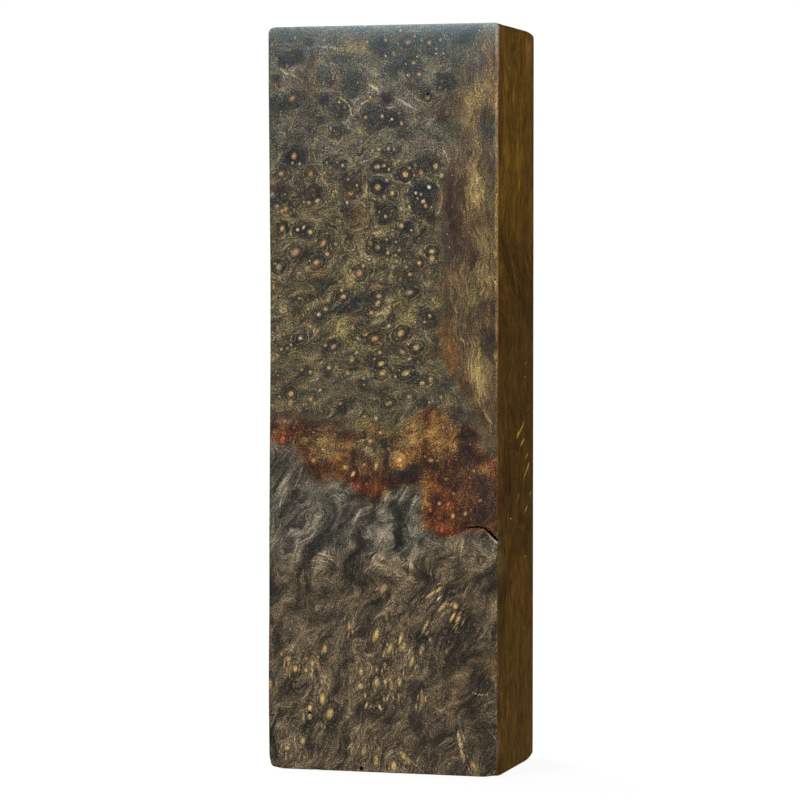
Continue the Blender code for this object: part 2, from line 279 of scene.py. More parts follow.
# Darker patches, each with how dark it is.
DARK_PATCHES = (
    (4.2, 119.6, 2.2, 1.3, 20, 0.60), (7.0, 122.3, 1.0, 0.7, 0, 0.70), (1.3, 116.4, 0.8, 0.7, 0, 0.80),
    (2.2, 119.2, 0.8, 1.2, 30, 0.60), (11.2, 119.2, 0.9, 0.7, 0, 0.60), (15.0, 119.2, 2.2, 0.9, 0, 0.50),
    (19.5, 122.3, 2.0, 1.5, 0, 0.40), (20.5, 121.0, 1.5, 1.5, 0, 0.50), (24.5, 119.0, 1.5, 1.5, 0, 0.50),
    (22.5, 118.0, 1.2, 1.5, 0, 0.50), (26.5, 120.2, 1.6, 0.5, 0, 0.70), (30.0, 119.8, 1.5, 0.9, 0, 0.50),
    (34.5, 122.8, 2.2, 0.9, 30, 0.80), (33.0, 119.0, 1.4, 1.8, -20, 0.40), (36.5, 124.2, 0.8, 0.8, 0, 0.50),
    (10.0, 112.7, 1.0, 1.1, 0, 0.60), (20.6, 112.7, 1.2, 1.0, 0, 0.80), (21.5, 108.9, 1.8, 1.1, 0, 0.80),
    (27.9, 113.3, 1.2, 0.8, 0, 0.50), (31.3, 115.5, 1.8, 1.6, 0, 0.70), (26.5, 115.0, 1.2, 1.2, 0, 0.50),
    (14.0, 117.0, 2.5, 1.5, 0, 0.35), (15.5, 114.5, 2.0, 1.5, 0, 0.30), (18.5, 109.5, 2.2, 2.2, 0, 0.45),
    (13.2, 110.8, 1.5, 1.5, 0, 0.30), (7.0, 110.5, 1.5, 1.5, 0, 0.60), (8.5, 109.0, 1.3, 1.6, 0, 0.60),
    (1.5, 112.2, 1.8, 1.5, 0, 0.50), (1.3, 106.3, 0.8, 1.6, 0, 0.60), (4.5, 105.2, 2.2, 0.8, 0, 0.50),
    (13.0, 107.3, 1.5, 1.0, 0, 0.40), (23.8, 107.3, 1.8, 1.4, 0, 0.60), (31.0, 108.5, 2.0, 2.0, 0, 0.50),
    (33.0, 106.5, 1.0, 2.0, 0, 0.30), (31.0, 112.0, 3.0, 1.5, 0, 0.30), (38.6, 108.5, 1.2, 2.4, 0, 0.50),
    (5.0, 103.0, 2.2, 1.7, 10, 0.85), (10.8, 102.5, 1.0, 1.0, 0, 0.50), (2.8, 101.0, 1.6, 1.0, 20, 0.40),
    (11.3, 99.6, 1.0, 1.0, 0, 0.50), (5.5, 99.5, 0.9, 0.9, 0, 0.50), (13.3, 99.0, 1.0, 1.2, 0, 0.60),
    (13.8, 97.3, 1.2, 1.5, 0, 0.40), (2.3, 97.9, 1.6, 1.0, 0, 0.50), (5.2, 98.2, 1.1, 0.8, 0, 0.40),
    (8.2, 96.9, 1.3, 0.8, 0, 0.60), (7.3, 95.6, 1.6, 0.7, -10, 0.50), (1.0, 95.5, 0.9, 0.8, 0, 0.50),
    (3.5, 95.5, 1.5, 0.5, -20, 0.40), (14.0, 94.8, 1.4, 1.2, 0, 0.50), (10.5, 95.5, 1.2, 1.0, 0, 0.20),
    (19.8, 101.3, 2.0, 1.0, 0, 0.70), (24.0, 100.2, 1.9, 1.6, 0, 0.75), (26.8, 101.0, 1.5, 1.3, 0, 0.50),
    (29.6, 101.0, 1.2, 1.4, 0, 0.40), (21.5, 103.6, 2.6, 0.8, 0, 0.50), (27.0, 103.0, 2.0, 1.2, 0, 0.30),
    (19.5, 98.2, 1.6, 1.3, 0, 0.80), (21.8, 97.2, 1.3, 1.1, 0, 0.50), (27.7, 98.7, 2.0, 1.2, 0, 0.50),
    (26.5, 96.6, 1.9, 1.9, 0, 0.75), (28.5, 96.5, 1.2, 2.2, 0, 0.60), (27.0, 94.0, 2.0, 1.6, -10, 0.70),
    (28.8, 92.9, 1.4, 0.8, 0, 0.70), (21.4, 93.9, 1.8, 1.5, 40, 0.55), (20.6, 92.5, 0.8, 1.0, 30, 0.70),
    (19.9, 94.6, 1.0, 0.7, 0, 0.50), (24.2, 91.3, 1.35, 1.1, 0, 0.95), (21.2, 91.4, 1.2, 0.8, 0, 0.50),
    (14.4, 93.4, 0.8, 0.9, 0, 0.50), (10.8, 91.6, 1.2, 1.0, 0, 0.60), (5.3, 90.8, 1.3, 0.8, 0, 0.60),
    (7.6, 91.0, 1.4, 1.0, -20, 0.60), (2.8, 91.3, 1.4, 1.2, 0, 0.50), (19.2, 88.4, 1.7, 1.5, 0, 0.75),
    (22.0, 88.9, 1.2, 1.0, 0, 0.55), (24.3, 88.7, 1.2, 0.9, 0, 0.50), (27.0, 89.6, 1.2, 1.0, 0, 0.70),
    (21.0, 87.0, 1.2, 0.9, 0, 0.40), (24.0, 86.8, 1.5, 0.9, 0, 0.50), (25.6, 85.8, 1.0, 1.2, 0, 0.70),
    (28.9, 87.5, 1.4, 1.0, 0, 0.50), (29.3, 85.3, 1.0, 0.8, 0, 0.50), (26.8, 85.3, 1.3, 0.9, 0, 0.50),
    (19.5, 84.3, 2.0, 0.7, 0, 0.70), (6.3, 86.2, 2.2, 1.2, 25, 0.80), (9.8, 86.9, 1.2, 1.1, 0, 0.50),
    (11.3, 88.3, 0.8, 1.5, 0, 0.40), (1.7, 86.6, 1.0, 1.0, 0, 0.30), (4.5, 85.2, 1.6, 0.5, 20, 0.50),
    (31.3, 97.0, 1.2, 3.0, 0, 0.35), (32.0, 91.0, 1.6, 5.0, 0, 0.45), (35.8, 92.0, 0.8, 3.0, 0, 0.10),
    (34.5, 88.0, 1.0, 3.0, 0, 0.20), (36.0, 86.0, 0.8, 2.0, 0, 0.25), (39.4, 100.0, 0.5, 3.0, 0, 0.20),
    (10.5, 82.3, 1.8, 0.8, 10, 0.80), (7.8, 82.4, 1.3, 0.5, 15, 0.60), (5.0, 81.0, 1.8, 0.4, 35, 0.50),
    (7.5, 79.6, 1.5, 0.6, 20, 0.60), (3.5, 79.6, 1.2, 0.5, 0, 0.40), (11.5, 80.5, 1.2, 0.6, 15, 0.50),
    (14.2, 78.3, 2.2, 1.6, 25, 0.80), (16.8, 79.6, 1.5, 1.5, 0, 0.70), (16.5, 77.3, 2.5, 0.8, 15, 0.80),
    (12.5, 77.5, 1.2, 0.9, 20, 0.70), (10.0, 76.3, 2.5, 0.7, 30, 0.70), (5.6, 77.0, 1.0, 0.6, 0, 0.40),
    (17.0, 75.5, 2.2, 0.5, 20, 0.60), (20.8, 76.3, 1.6, 0.7, 35, 0.50), (19.0, 74.8, 2.0, 0.5, 15, 0.40),
    (22.0, 74.3, 1.2, 0.6, 30, 0.50), (23.5, 73.7, 2.1, 1.6, 35, 0.50), (28.0, 76.3, 2.0, 1.7, 0, 0.50),
    (24.8, 82.5, 2.0, 0.6, -15, 0.40), (26.3, 80.9, 1.3, 1.2, 0, 0.60), (25.0, 79.9, 1.6, 0.6, 0, 0.60),
    (29.2, 83.0, 1.0, 0.8, 0, 0.60), (21.5, 80.8, 1.2, 1.2, 0, 0.30), (5.5, 71.7, 1.6, 1.0, 20, 0.80),
    (8.0, 71.6, 2.8, 0.5, 35, 0.50), (11.3, 72.4, 1.2, 0.4, 20, 0.60), (10.6, 70.7, 1.2, 0.7, 20, 0.60),
    (5.8, 73.2, 1.5, 1.1, 0, 0.40), (2.4, 71.3, 1.4, 1.2, 0, 0.30), (3.8, 68.8, 1.5, 1.0, 0, 0.20),
    (20.5, 70.6, 1.2, 1.2, 0, 0.60), (22.3, 71.3, 1.2, 0.8, 0, 0.60), (18.3, 69.3, 1.7, 1.4, 20, 0.85),
    (15.7, 68.5, 1.3, 1.2, 30, 0.60), (13.2, 68.3, 1.0, 1.2, 0, 0.50), (28.8, 70.5, 1.6, 1.3, 0, 0.70),
    (26.5, 69.3, 1.5, 0.7, 15, 0.60), (24.3, 68.2, 1.8, 0.6, 15, 0.60), (22.7, 66.6, 1.2, 1.2, 0, 0.60),
    (25.9, 65.6, 1.3, 1.1, 20, 0.80), (30.7, 65.0, 1.5, 1.8, 0, 0.50), (14.0, 65.0, 1.2, 0.8, 30, 0.40),
    (10.0, 66.0, 1.5, 0.6, 30, 0.40), (3.8, 64.3, 1.3, 1.1, 0, 0.60), (6.3, 63.6, 1.0, 0.8, 0, 0.50),
    (20.0, 64.0, 1.5, 1.0, 20, 0.60), (17.5, 64.8, 1.5, 0.8, 10, 0.40), (6.2, 67.2, 1.0, 0.8, 30, 0.50),
    (38.5, 72.5, 1.5, 2.2, 0, 0.80), (33.0, 76.0, 1.8, 3.0, 10, 0.35), (31.0, 78.0, 1.0, 3.0, 0, 0.30),
    (35.0, 64.5, 1.2, 1.6, 0, 0.50), (39.4, 78.0, 0.8, 4.0, 0, 0.30),
    (20.8, 53.0, 0.6, 1.8, 0, 0.70), (24.5, 50.5, 3.0, 1.2, 5, 0.85), (20.5, 49.8, 2.0, 0.8, -10, 0.60),
    (30.0, 50.5, 2.0, 1.5, -10, 0.50), (35.0, 55.5, 1.6, 3.0, 0, 0.45), (36.5, 60.5, 1.8, 1.8, 0, 0.50),
    (33.3, 60.5, 1.0, 1.3, 40, 0.60), (26.5, 61.8, 2.0, 0.8, 10, 0.60), (13.0, 61.0, 1.5, 1.0, 20, 0.70),
    (3.0, 60.0, 2.0, 0.5, 10, 0.50), (9.0, 60.3, 3.0, 0.6, 0, 0.40), (12.5, 57.8, 2.5, 0.8, 30, 0.30),
    (8.0, 50.5, 1.5, 1.0, 0, 0.50), (14.2, 49.8, 0.8, 1.3, -20, 0.40), (17.0, 46.8, 1.5, 0.8, 15, 0.60),
    (29.0, 46.0, 1.5, 1.5, 0, 0.30), (37.5, 48.0, 1.0, 2.0, 0, 0.40), (36.5, 45.0, 1.2, 1.5, 0, 0.40), (38.6, 46.0, 1.4, 4.0, 0, 0.45),
    (36.4, 43.0, 2.2, 1.0, 0, 0.45), (6.0, 58.0, 2.4, 0.6, 15, 0.50), (13.4, 56.4, 1.4, 1.0, 40, 0.50),
    (34.2, 56.5, 0.9, 3.0, -10, 0.50), (31.5, 53.0, 0.6, 1.8, -30, 0.40), (21.6, 55.6, 1.6, 0.6, 35, 0.45),
    (38.8, 44.0, 1.0, 2.0, 0, 0.30), (2.0, 51.5, 1.6, 2.5, -20, 0.45), (4.5, 49.0, 0.6, 1.5, -25, 0.70),
    (1.5, 48.5, 0.6, 1.5, -20, 0.50), (2.8, 44.0, 0.4, 2.0, -15, 0.50), (4.3, 46.0, 0.4, 1.5, -25, 0.60),
    (15.2, 46.8, 1.5, 0.7, 35, 0.70), (13.5, 43.8, 0.6, 1.3, -35, 0.70), (18.5, 46.0, 1.0, 0.8, -40, 0.70),
    (16.8, 45.3, 0.6, 1.0, 0, 0.50), (18.5, 43.0, 0.6, 1.2, -25, 0.70), (22.7, 43.5, 0.7, 1.8, -20, 0.80),
    (22.0, 47.8, 1.2, 1.0, 0, 0.50), (21.8, 45.0, 0.5, 1.0, -30, 0.70), (24.5, 45.0, 0.5, 1.0, -20, 0.70),
    (14.8, 49.0, 1.0, 0.5, 0, 0.50), (3.8, 37.8, 1.0, 1.8, -10, 0.50), (10.3, 39.3, 1.3, 2.0, -35, 0.80),
    (8.0, 37.2, 0.8, 2.2, -30, 0.70), (6.8, 35.0, 0.8, 2.0, -25, 0.60), (5.0, 33.0, 0.8, 2.8, -10, 0.70),
    (5.2, 29.0, 0.5, 2.5, -5, 0.60), (15.0, 34.0, 2.5, 1.8, 20, 0.50), (16.0, 32.0, 2.2, 1.3, 0, 0.60),
    (14.5, 36.5, 1.5, 1.0, 30, 0.60), (17.0, 38.2, 1.5, 1.2, 30, 0.80), (16.6, 40.3, 0.8, 1.8, -30, 0.60),
    (18.7, 36.8, 1.6, 0.6, 35, 0.70), (22.9, 39.6, 1.0, 2.2, 0, 0.85), (23.7, 37.0, 1.0, 0.8, 30, 0.50),
    (28.0, 32.8, 2.2, 1.0, -20, 0.75), (27.0, 30.8, 1.5, 0.6, 30, 0.60), (25.0, 34.0, 1.5, 0.5, -20, 0.30),
    (33.0, 35.0, 0.5, 2.0, -5, 0.50), (36.8, 33.0, 1.0, 0.8, 20, 0.50), (9.0, 25.8, 2.2, 1.2, 25, 0.80),
    (12.3, 26.3, 1.8, 0.9, 20, 0.50), (17.5, 25.3, 1.6, 1.8, 35, 0.75), (19.0, 27.5, 1.5, 0.9, 35, 0.60),
    (16.5, 23.8, 0.8, 1.5, 0, 0.70), (1.2, 29.5, 1.2, 0.9, 0, 0.50), (1.5, 24.8, 1.2, 0.8, 0, 0.40),
    (10.0, 29.3, 0.8, 1.5, -20, 0.40), (7.5, 28.3, 1.5, 0.8, 0, 0.30), (23.5, 28.7, 2.0, 0.6, 20, 0.40),
    (31.5, 25.5, 0.6, 2.0, -30, 0.50), (33.0, 23.0, 1.8, 2.5, 0, 0.70), (34.8, 25.5, 1.0, 2.5, 0, 0.65),
    (30.0, 22.5, 1.2, 1.5, 0, 0.50), (24.5, 22.0, 0.6, 1.5, -20, 0.50), (22.0, 24.5, 0.6, 1.5, -20, 0.30),
    (20.5, 22.0, 0.5, 1.8, -20, 0.50), (27.0, 29.0, 1.2, 0.8, 30, 0.50), (32.5, 30.5, 1.2, 0.6, 0, 0.30),
    (4.0, 14.2, 1.3, 1.2, 0, 0.40), (2.8, 13.5, 1.2, 0.8, 0, 0.40), (13.7, 17.5, 0.5, 3.5, 0, 0.50),
    (13.7, 13.0, 0.5, 2.0, 0, 0.40), (7.0, 14.8, 1.5, 0.8, 0, 0.30), (12.3, 9.8, 1.2, 1.8, -10, 0.50),
    (12.5, 6.5, 1.2, 1.5, -30, 0.40), (4.0, 8.5, 1.2, 2.0, -20, 0.40), (2.5, 5.8, 1.6, 1.0, 0, 0.40),
    (15.8, 10.8, 1.5, 0.5, 10, 0.60), (18.0, 10.3, 2.0, 0.6, -5, 0.40), (21.8, 8.8, 1.6, 0.6, 0, 0.85),
    (25.3, 9.3, 0.9, 1.5, 0, 0.70), (26.3, 6.8, 0.8, 1.5, 25, 0.60), (25.5, 14.0, 0.8, 2.0, 0, 0.40),
    (23.5, 12.5, 0.8, 1.8, 0, 0.30), (32.5, 19.3, 2.3, 1.8, 0, 0.65), (31.0, 17.3, 0.8, 1.5, 0, 0.50),
    (37.3, 15.8, 2.0, 1.3, 0, 0.85), (35.5, 12.0, 0.9, 2.5, 0, 0.70), (36.5, 9.5, 1.2, 2.5, 15, 0.60),
    (38.3, 6.0, 1.6, 2.0, 0, 0.50), (33.9, 13.0, 0.8, 1.2, 0, 0.30), (27.5, 3.0, 1.2, 1.5, 0, 0.50),
    (29.0, 5.0, 0.8, 2.0, 10, 0.30), (18.2, 2.0, 0.8, 1.2, 0, 0.50), (20.7, 1.8, 0.8, 1.2, 0, 0.50),
    (38.0, 3.0, 1.5, 1.5, 0, 0.50), (33.8, 26.5, 1.5, 5.5, -18, 0.35), (36.8, 11.0, 2.0, 6.0, 10, 0.20),
    (31.0, 24.0, 1.0, 3.5, -20, 0.25),
)

# Paler patches, each with how pale it is.
PALE_PATCHES = (
    (15.8, 121.4, 1.8, 1.2, 0, 0.70), (13.3, 121.3, 1.5, 1.0, 0, 0.30), (16.8, 119.5, 0.8, 1.5, 30, 0.20),
    (2.2, 118.1, 1.8, 0.7, -20, 0.40), (0.8, 119.6, 0.6, 0.8, 0, 0.30), (19.0, 114.8, 1.1, 1.3, -30, 0.35),
    (18.5, 117.5, 1.5, 2.0, 0, 0.10), (28.8, 108.8, 2.2, 1.1, -15, 0.50), (30.0, 106.9, 1.3, 0.9, -10, 0.50),
    (21.8, 107.5, 1.5, 0.5, -25, 0.50), (24.5, 112.0, 2.5, 0.7, -30, 0.35), (27.5, 118.3, 1.5, 0.8, 0, 0.10),
    (5.5, 108.0, 2.0, 1.2, 0, 0.25), (3.5, 107.4, 1.0, 0.7, 0, 0.30), (14.5, 105.5, 4.0, 0.6, 5, 0.25),
    (29.0, 105.4, 2.5, 0.5, 0, 0.40), (37.5, 120.0, 1.6, 4.0, -15, 0.25), (36.0, 112.0, 1.6, 4.0, -15, 0.60),
    (38.5, 117.0, 0.8, 1.5, 0, 0.30), (39.0, 113.0, 0.8, 5.0, 0, 0.30), (36.0, 107.0, 1.2, 2.0, 0, 0.30),
    (7.0, 103.7, 0.5, 1.2, -15, 0.30), (15.5, 102.5, 1.2, 1.5, 0, 0.10), (16.5, 101.0, 1.0, 1.0, 0, 0.10),
    (20.5, 99.9, 1.5, 0.6, -10, 0.35), (24.8, 98.6, 0.8, 1.2, 0, 0.30), (24.0, 93.2, 1.8, 0.8, 0, 0.20),
    (29.8, 90.8, 2.0, 0.4, -10, 0.20), (7.0, 93.3, 2.5, 1.0, 0, 0.40), (3.3, 92.7, 1.0, 0.6, 0, 0.45),
    (9.5, 94.0, 1.5, 0.8, 0, 0.20), (12.5, 93.5, 1.0, 1.2, 0, 0.15), (5.8, 88.8, 1.3, 0.9, 0, 0.50),
    (8.0, 87.0, 1.2, 0.8, 0, 0.20), (2.0, 88.3, 1.5, 0.9, 0, 0.15), (15.9, 89.0, 0.8, 3.0, 0, 0.40),
    (15.0, 86.7, 0.6, 1.5, -20, 0.35), (16.8, 86.8, 0.9, 1.2, 20, 0.35), (14.5, 84.6, 1.0, 1.2, 0, 0.45),
    (21.5, 85.3, 1.5, 0.7, -10, 0.35), (26.0, 87.5, 1.2, 0.5, -45, 0.30), (35.5, 100.5, 1.2, 2.8, 0, 0.55),
    (36.8, 97.0, 1.3, 3.5, 0, 0.65), (34.5, 101.5, 1.0, 2.0, 0, 0.20), (39.2, 95.0, 0.8, 5.0, 0, 0.15),
    (37.5, 90.0, 1.0, 4.0, 0, 0.30), (38.5, 87.5, 1.2, 3.0, 0, 0.35), (14.8, 82.6, 0.9, 1.3, 20, 0.60),
    (15.0, 81.8, 0.8, 0.5, 0, 0.50), (17.8, 81.3, 1.2, 1.1, 20, 0.45), (6.8, 83.3, 2.0, 0.7, 0, 0.20),
    (11.3, 83.6, 1.2, 0.5, -20, 0.30), (1.8, 79.2, 1.5, 1.0, 0, 0.20), (3.3, 77.8, 2.2, 0.9, 10, 0.30),
    (12.5, 75.0, 1.8, 0.9, 30, 0.50), (14.2, 74.0, 1.2, 2.0, 15, 0.40), (12.8, 73.2, 1.0, 1.2, 0, 0.35),
    (18.5, 76.6, 1.8, 0.4, 30, 0.30), (21.3, 78.3, 1.6, 0.6, 30, 0.55), (23.5, 77.3, 1.3, 1.5, -20, 0.35),
    (24.5, 75.8, 1.0, 1.5, 0, 0.35), (29.2, 79.0, 1.3, 1.1, 10, 0.45), (26.8, 72.9, 1.2, 0.5, -10, 0.20),
    (8.3, 69.5, 1.8, 1.0, 20, 0.35), (5.0, 75.0, 1.2, 0.9, 10, 0.15), (1.3, 74.9, 1.5, 0.9, 0, 0.20),
    (14.9, 69.2, 0.9, 1.1, 0, 0.30), (21.3, 69.5, 1.0, 1.0, 0, 0.25), (17.3, 67.2, 0.8, 0.9, 0, 0.15),
    (3.0, 66.7, 1.8, 0.8, 10, 0.15), (9.2, 65.0, 1.4, 0.5, 30, 0.30), (15.3, 64.9, 1.0, 0.8, 20, 0.20),
    (22.3, 64.8, 1.2, 0.4, 15, 0.30), (34.3, 82.5, 0.5, 2.0, -10, 0.20), (35.7, 79.3, 0.6, 2.0, -10, 0.50),
    (36.8, 83.0, 0.9, 2.0, 0, 0.40), (38.8, 83.0, 1.0, 1.5, 0, 0.40), (34.3, 76.0, 0.5, 3.0, -12, 0.35),
    (33.5, 73.0, 0.5, 1.5, 0, 0.20), (35.6, 71.8, 1.2, 2.0, 15, 0.30), (36.5, 68.5, 1.6, 2.5, 15, 0.55),
    (37.5, 65.0, 1.5, 2.5, 10, 0.60), (32.0, 70.5, 1.5, 2.6, -20, 0.50), (38.2, 60.5, 0.7, 2.5, 25, 0.55),
    (4.5, 58.5, 2.0, 1.0, 10, 0.20), (5.5, 56.5, 1.5, 0.8, 20, 0.25), (10.5, 55.5, 1.5, 2.0, 30, 0.45),
    (9.0, 53.2, 1.2, 1.0, 0, 0.30), (11.5, 53.0, 1.0, 1.5, -20, 0.30), (13.7, 51.2, 1.2, 0.8, -10, 0.60),
    (16.8, 51.0, 1.5, 1.0, -30, 0.40), (19.0, 51.5, 0.8, 1.4, -15, 0.60), (18.8, 48.0, 1.5, 0.8, 10, 0.35),
    (16.5, 59.0, 1.8, 0.8, 15, 0.45), (17.8, 57.0, 1.2, 1.0, 20, 0.40), (24.5, 53.5, 3.0, 1.5, 20, 0.45),
    (22.8, 52.0, 1.4, 1.0, 0, 0.60), (26.0, 57.5, 3.0, 1.5, 20, 0.35), (30.5, 56.5, 2.0, 3.5, 0, 0.55),
    (30.0, 60.0, 2.0, 1.0, 0, 0.30), (23.3, 58.7, 1.5, 0.6, 0, 0.25), (32.5, 50.5, 2.0, 1.5, 0, 0.30),
    (35.0, 50.0, 1.5, 1.5, 0, 0.40), (34.5, 47.5, 1.5, 2.0, 0, 0.20), (33.0, 44.0, 2.0, 1.5, 0, 0.15),
    (31.0, 46.5, 1.5, 2.0, -20, 0.25), (5.5, 52.0, 0.6, 1.0, -20, 0.40), (3.5, 47.5, 0.6, 2.5, -25, 0.40),
    (2.2, 45.3, 0.5, 2.0, -15, 0.40), (6.0, 47.5, 1.0, 1.5, -30, 0.10), (9.0, 46.5, 1.8, 1.5, 10, 0.35),
    (11.5, 48.2, 1.2, 0.7, 10, 0.60), (12.5, 46.5, 1.2, 1.2, 0, 0.50), (14.5, 45.0, 1.2, 1.0, 20, 0.35),
    (7.0, 44.5, 3.0, 0.5, 5, 0.45), (10.0, 43.5, 2.0, 1.2, 0, 0.30), (6.5, 43.3, 1.5, 0.5, 0, 0.35),
    (17.3, 44.8, 1.2, 1.0, -15, 0.45), (15.8, 43.2, 0.8, 1.2, -30, 0.50), (20.8, 46.8, 1.0, 1.5, -20, 0.65),
    (20.3, 43.5, 1.2, 1.5, 0, 0.50), (24.0, 46.8, 0.5, 1.8, -35, 0.50), (23.0, 45.3, 0.5, 1.2, -30, 0.30),
    (25.5, 44.7, 0.7, 2.0, -20, 0.35), (26.5, 42.8, 1.0, 1.0, 0, 0.45), (1.5, 40.5, 1.5, 1.5, 0, 0.10),
    (7.6, 41.0, 1.5, 1.0, 0, 0.50), (2.5, 33.0, 1.6, 3.0, -10, 0.15), (1.5, 36.0, 1.2, 2.0, 0, 0.10),
    (10.8, 36.7, 1.8, 1.5, 20, 0.60), (9.3, 34.2, 1.8, 1.0, -15, 0.55), (9.8, 32.0, 1.8, 1.3, 0, 0.45),
    (7.2, 33.0, 1.0, 1.2, 0, 0.30), (14.8, 41.0, 1.2, 0.8, 0, 0.30), (19.8, 38.5, 1.1, 3.2, -15, 0.70),
    (21.3, 40.5, 0.9, 2.0, 0, 0.55), (21.5, 36.3, 1.5, 1.0, 20, 0.40), (26.0, 40.7, 1.5, 0.9, -30, 0.50),
    (29.0, 38.8, 1.8, 0.9, 10, 0.60), (26.5, 37.3, 1.2, 0.8, 0, 0.35), (23.0, 35.5, 1.2, 1.2, 0, 0.45),
    (24.0, 33.0, 2.2, 1.3, -10, 0.35), (23.5, 31.0, 1.5, 0.9, 0, 0.30), (31.0, 33.7, 1.2, 2.0, -20, 0.25),
    (34.8, 38.3, 2.2, 1.2, 10, 0.45), (35.0, 36.0, 1.8, 1.2, -10, 0.45), (36.5, 35.0, 1.5, 1.0, -15, 0.30),
    (37.0, 38.2, 1.2, 1.0, 0, 0.30), (34.5, 32.8, 0.6, 1.8, -40, 0.35), (36.5, 30.5, 1.2, 1.2, 0, 0.10),
    (15.5, 28.5, 1.2, 1.3, -30, 0.35), (13.8, 29.5, 0.8, 1.0, 0, 0.20), (17.3, 30.6, 0.5, 1.4, -35, 0.40),
    (19.5, 31.0, 1.0, 1.2, -30, 0.35), (2.5, 27.0, 1.5, 0.9, 0, 0.15), (5.5, 24.0, 1.6, 1.8, 0, 0.30),
    (6.5, 22.0, 1.6, 1.3, 0, 0.30), (14.8, 26.0, 0.7, 1.3, -10, 0.45), (12.0, 23.0, 1.5, 1.5, 0, 0.10),
    (25.0, 26.0, 1.5, 1.0, 10, 0.35), (24.0, 24.8, 1.2, 0.6, 20, 0.30), (22.0, 29.2, 1.0, 0.5, 20, 0.30),
    (29.0, 25.3, 1.0, 1.0, 0, 0.10), (37.8, 26.0, 1.6, 3.5, 0, 0.10), (1.8, 17.0, 1.5, 1.5, 0, 0.10),
    (1.2, 10.8, 1.2, 1.0, 0, 0.20), (2.2, 7.8, 0.8, 0.9, 0, 0.40), (10.5, 15.0, 1.2, 1.5, 0, 0.35),
    (11.8, 12.3, 0.8, 1.2, 0, 0.25), (16.5, 7.3, 1.8, 1.0, 15, 0.40), (18.8, 7.8, 1.2, 0.6, 0, 0.35),
    (17.5, 5.8, 1.5, 0.6, 0, 0.25), (23.2, 7.8, 1.2, 0.9, 0, 0.50), (24.3, 6.3, 1.2, 1.2, 0, 0.45),
    (22.3, 5.8, 1.5, 0.6, 0, 0.20), (23.0, 9.8, 1.2, 0.6, 0, 0.25), (17.0, 19.5, 1.2, 1.0, 0, 0.35),
    (29.3, 13.8, 1.3, 1.5, 0, 0.35), (30.3, 15.5, 1.0, 1.2, 0, 0.30), (30.3, 11.5, 1.0, 1.2, 0, 0.25),
    (33.6, 16.3, 1.6, 1.0, 0, 0.55), (32.6, 8.9, 1.2, 0.7, 0, 0.30), (33.2, 9.8, 0.8, 0.8, 0, 0.30),
    (37.8, 19.5, 1.6, 1.2, 0, 0.20), (39.3, 18.0, 0.7, 2.0, 0, 0.40), (37.8, 12.7, 1.5, 0.8, 0, 0.05),
    (5.8, 5.2, 1.0, 1.0, 0, 0.20), (9.5, 5.5, 1.5, 1.2, 0, 0.05), (6.5, 1.5, 1.2, 0.8, 0, 0.15),
    (24.5, 11.0, 1.0, 1.0, 0, 0.15),
)

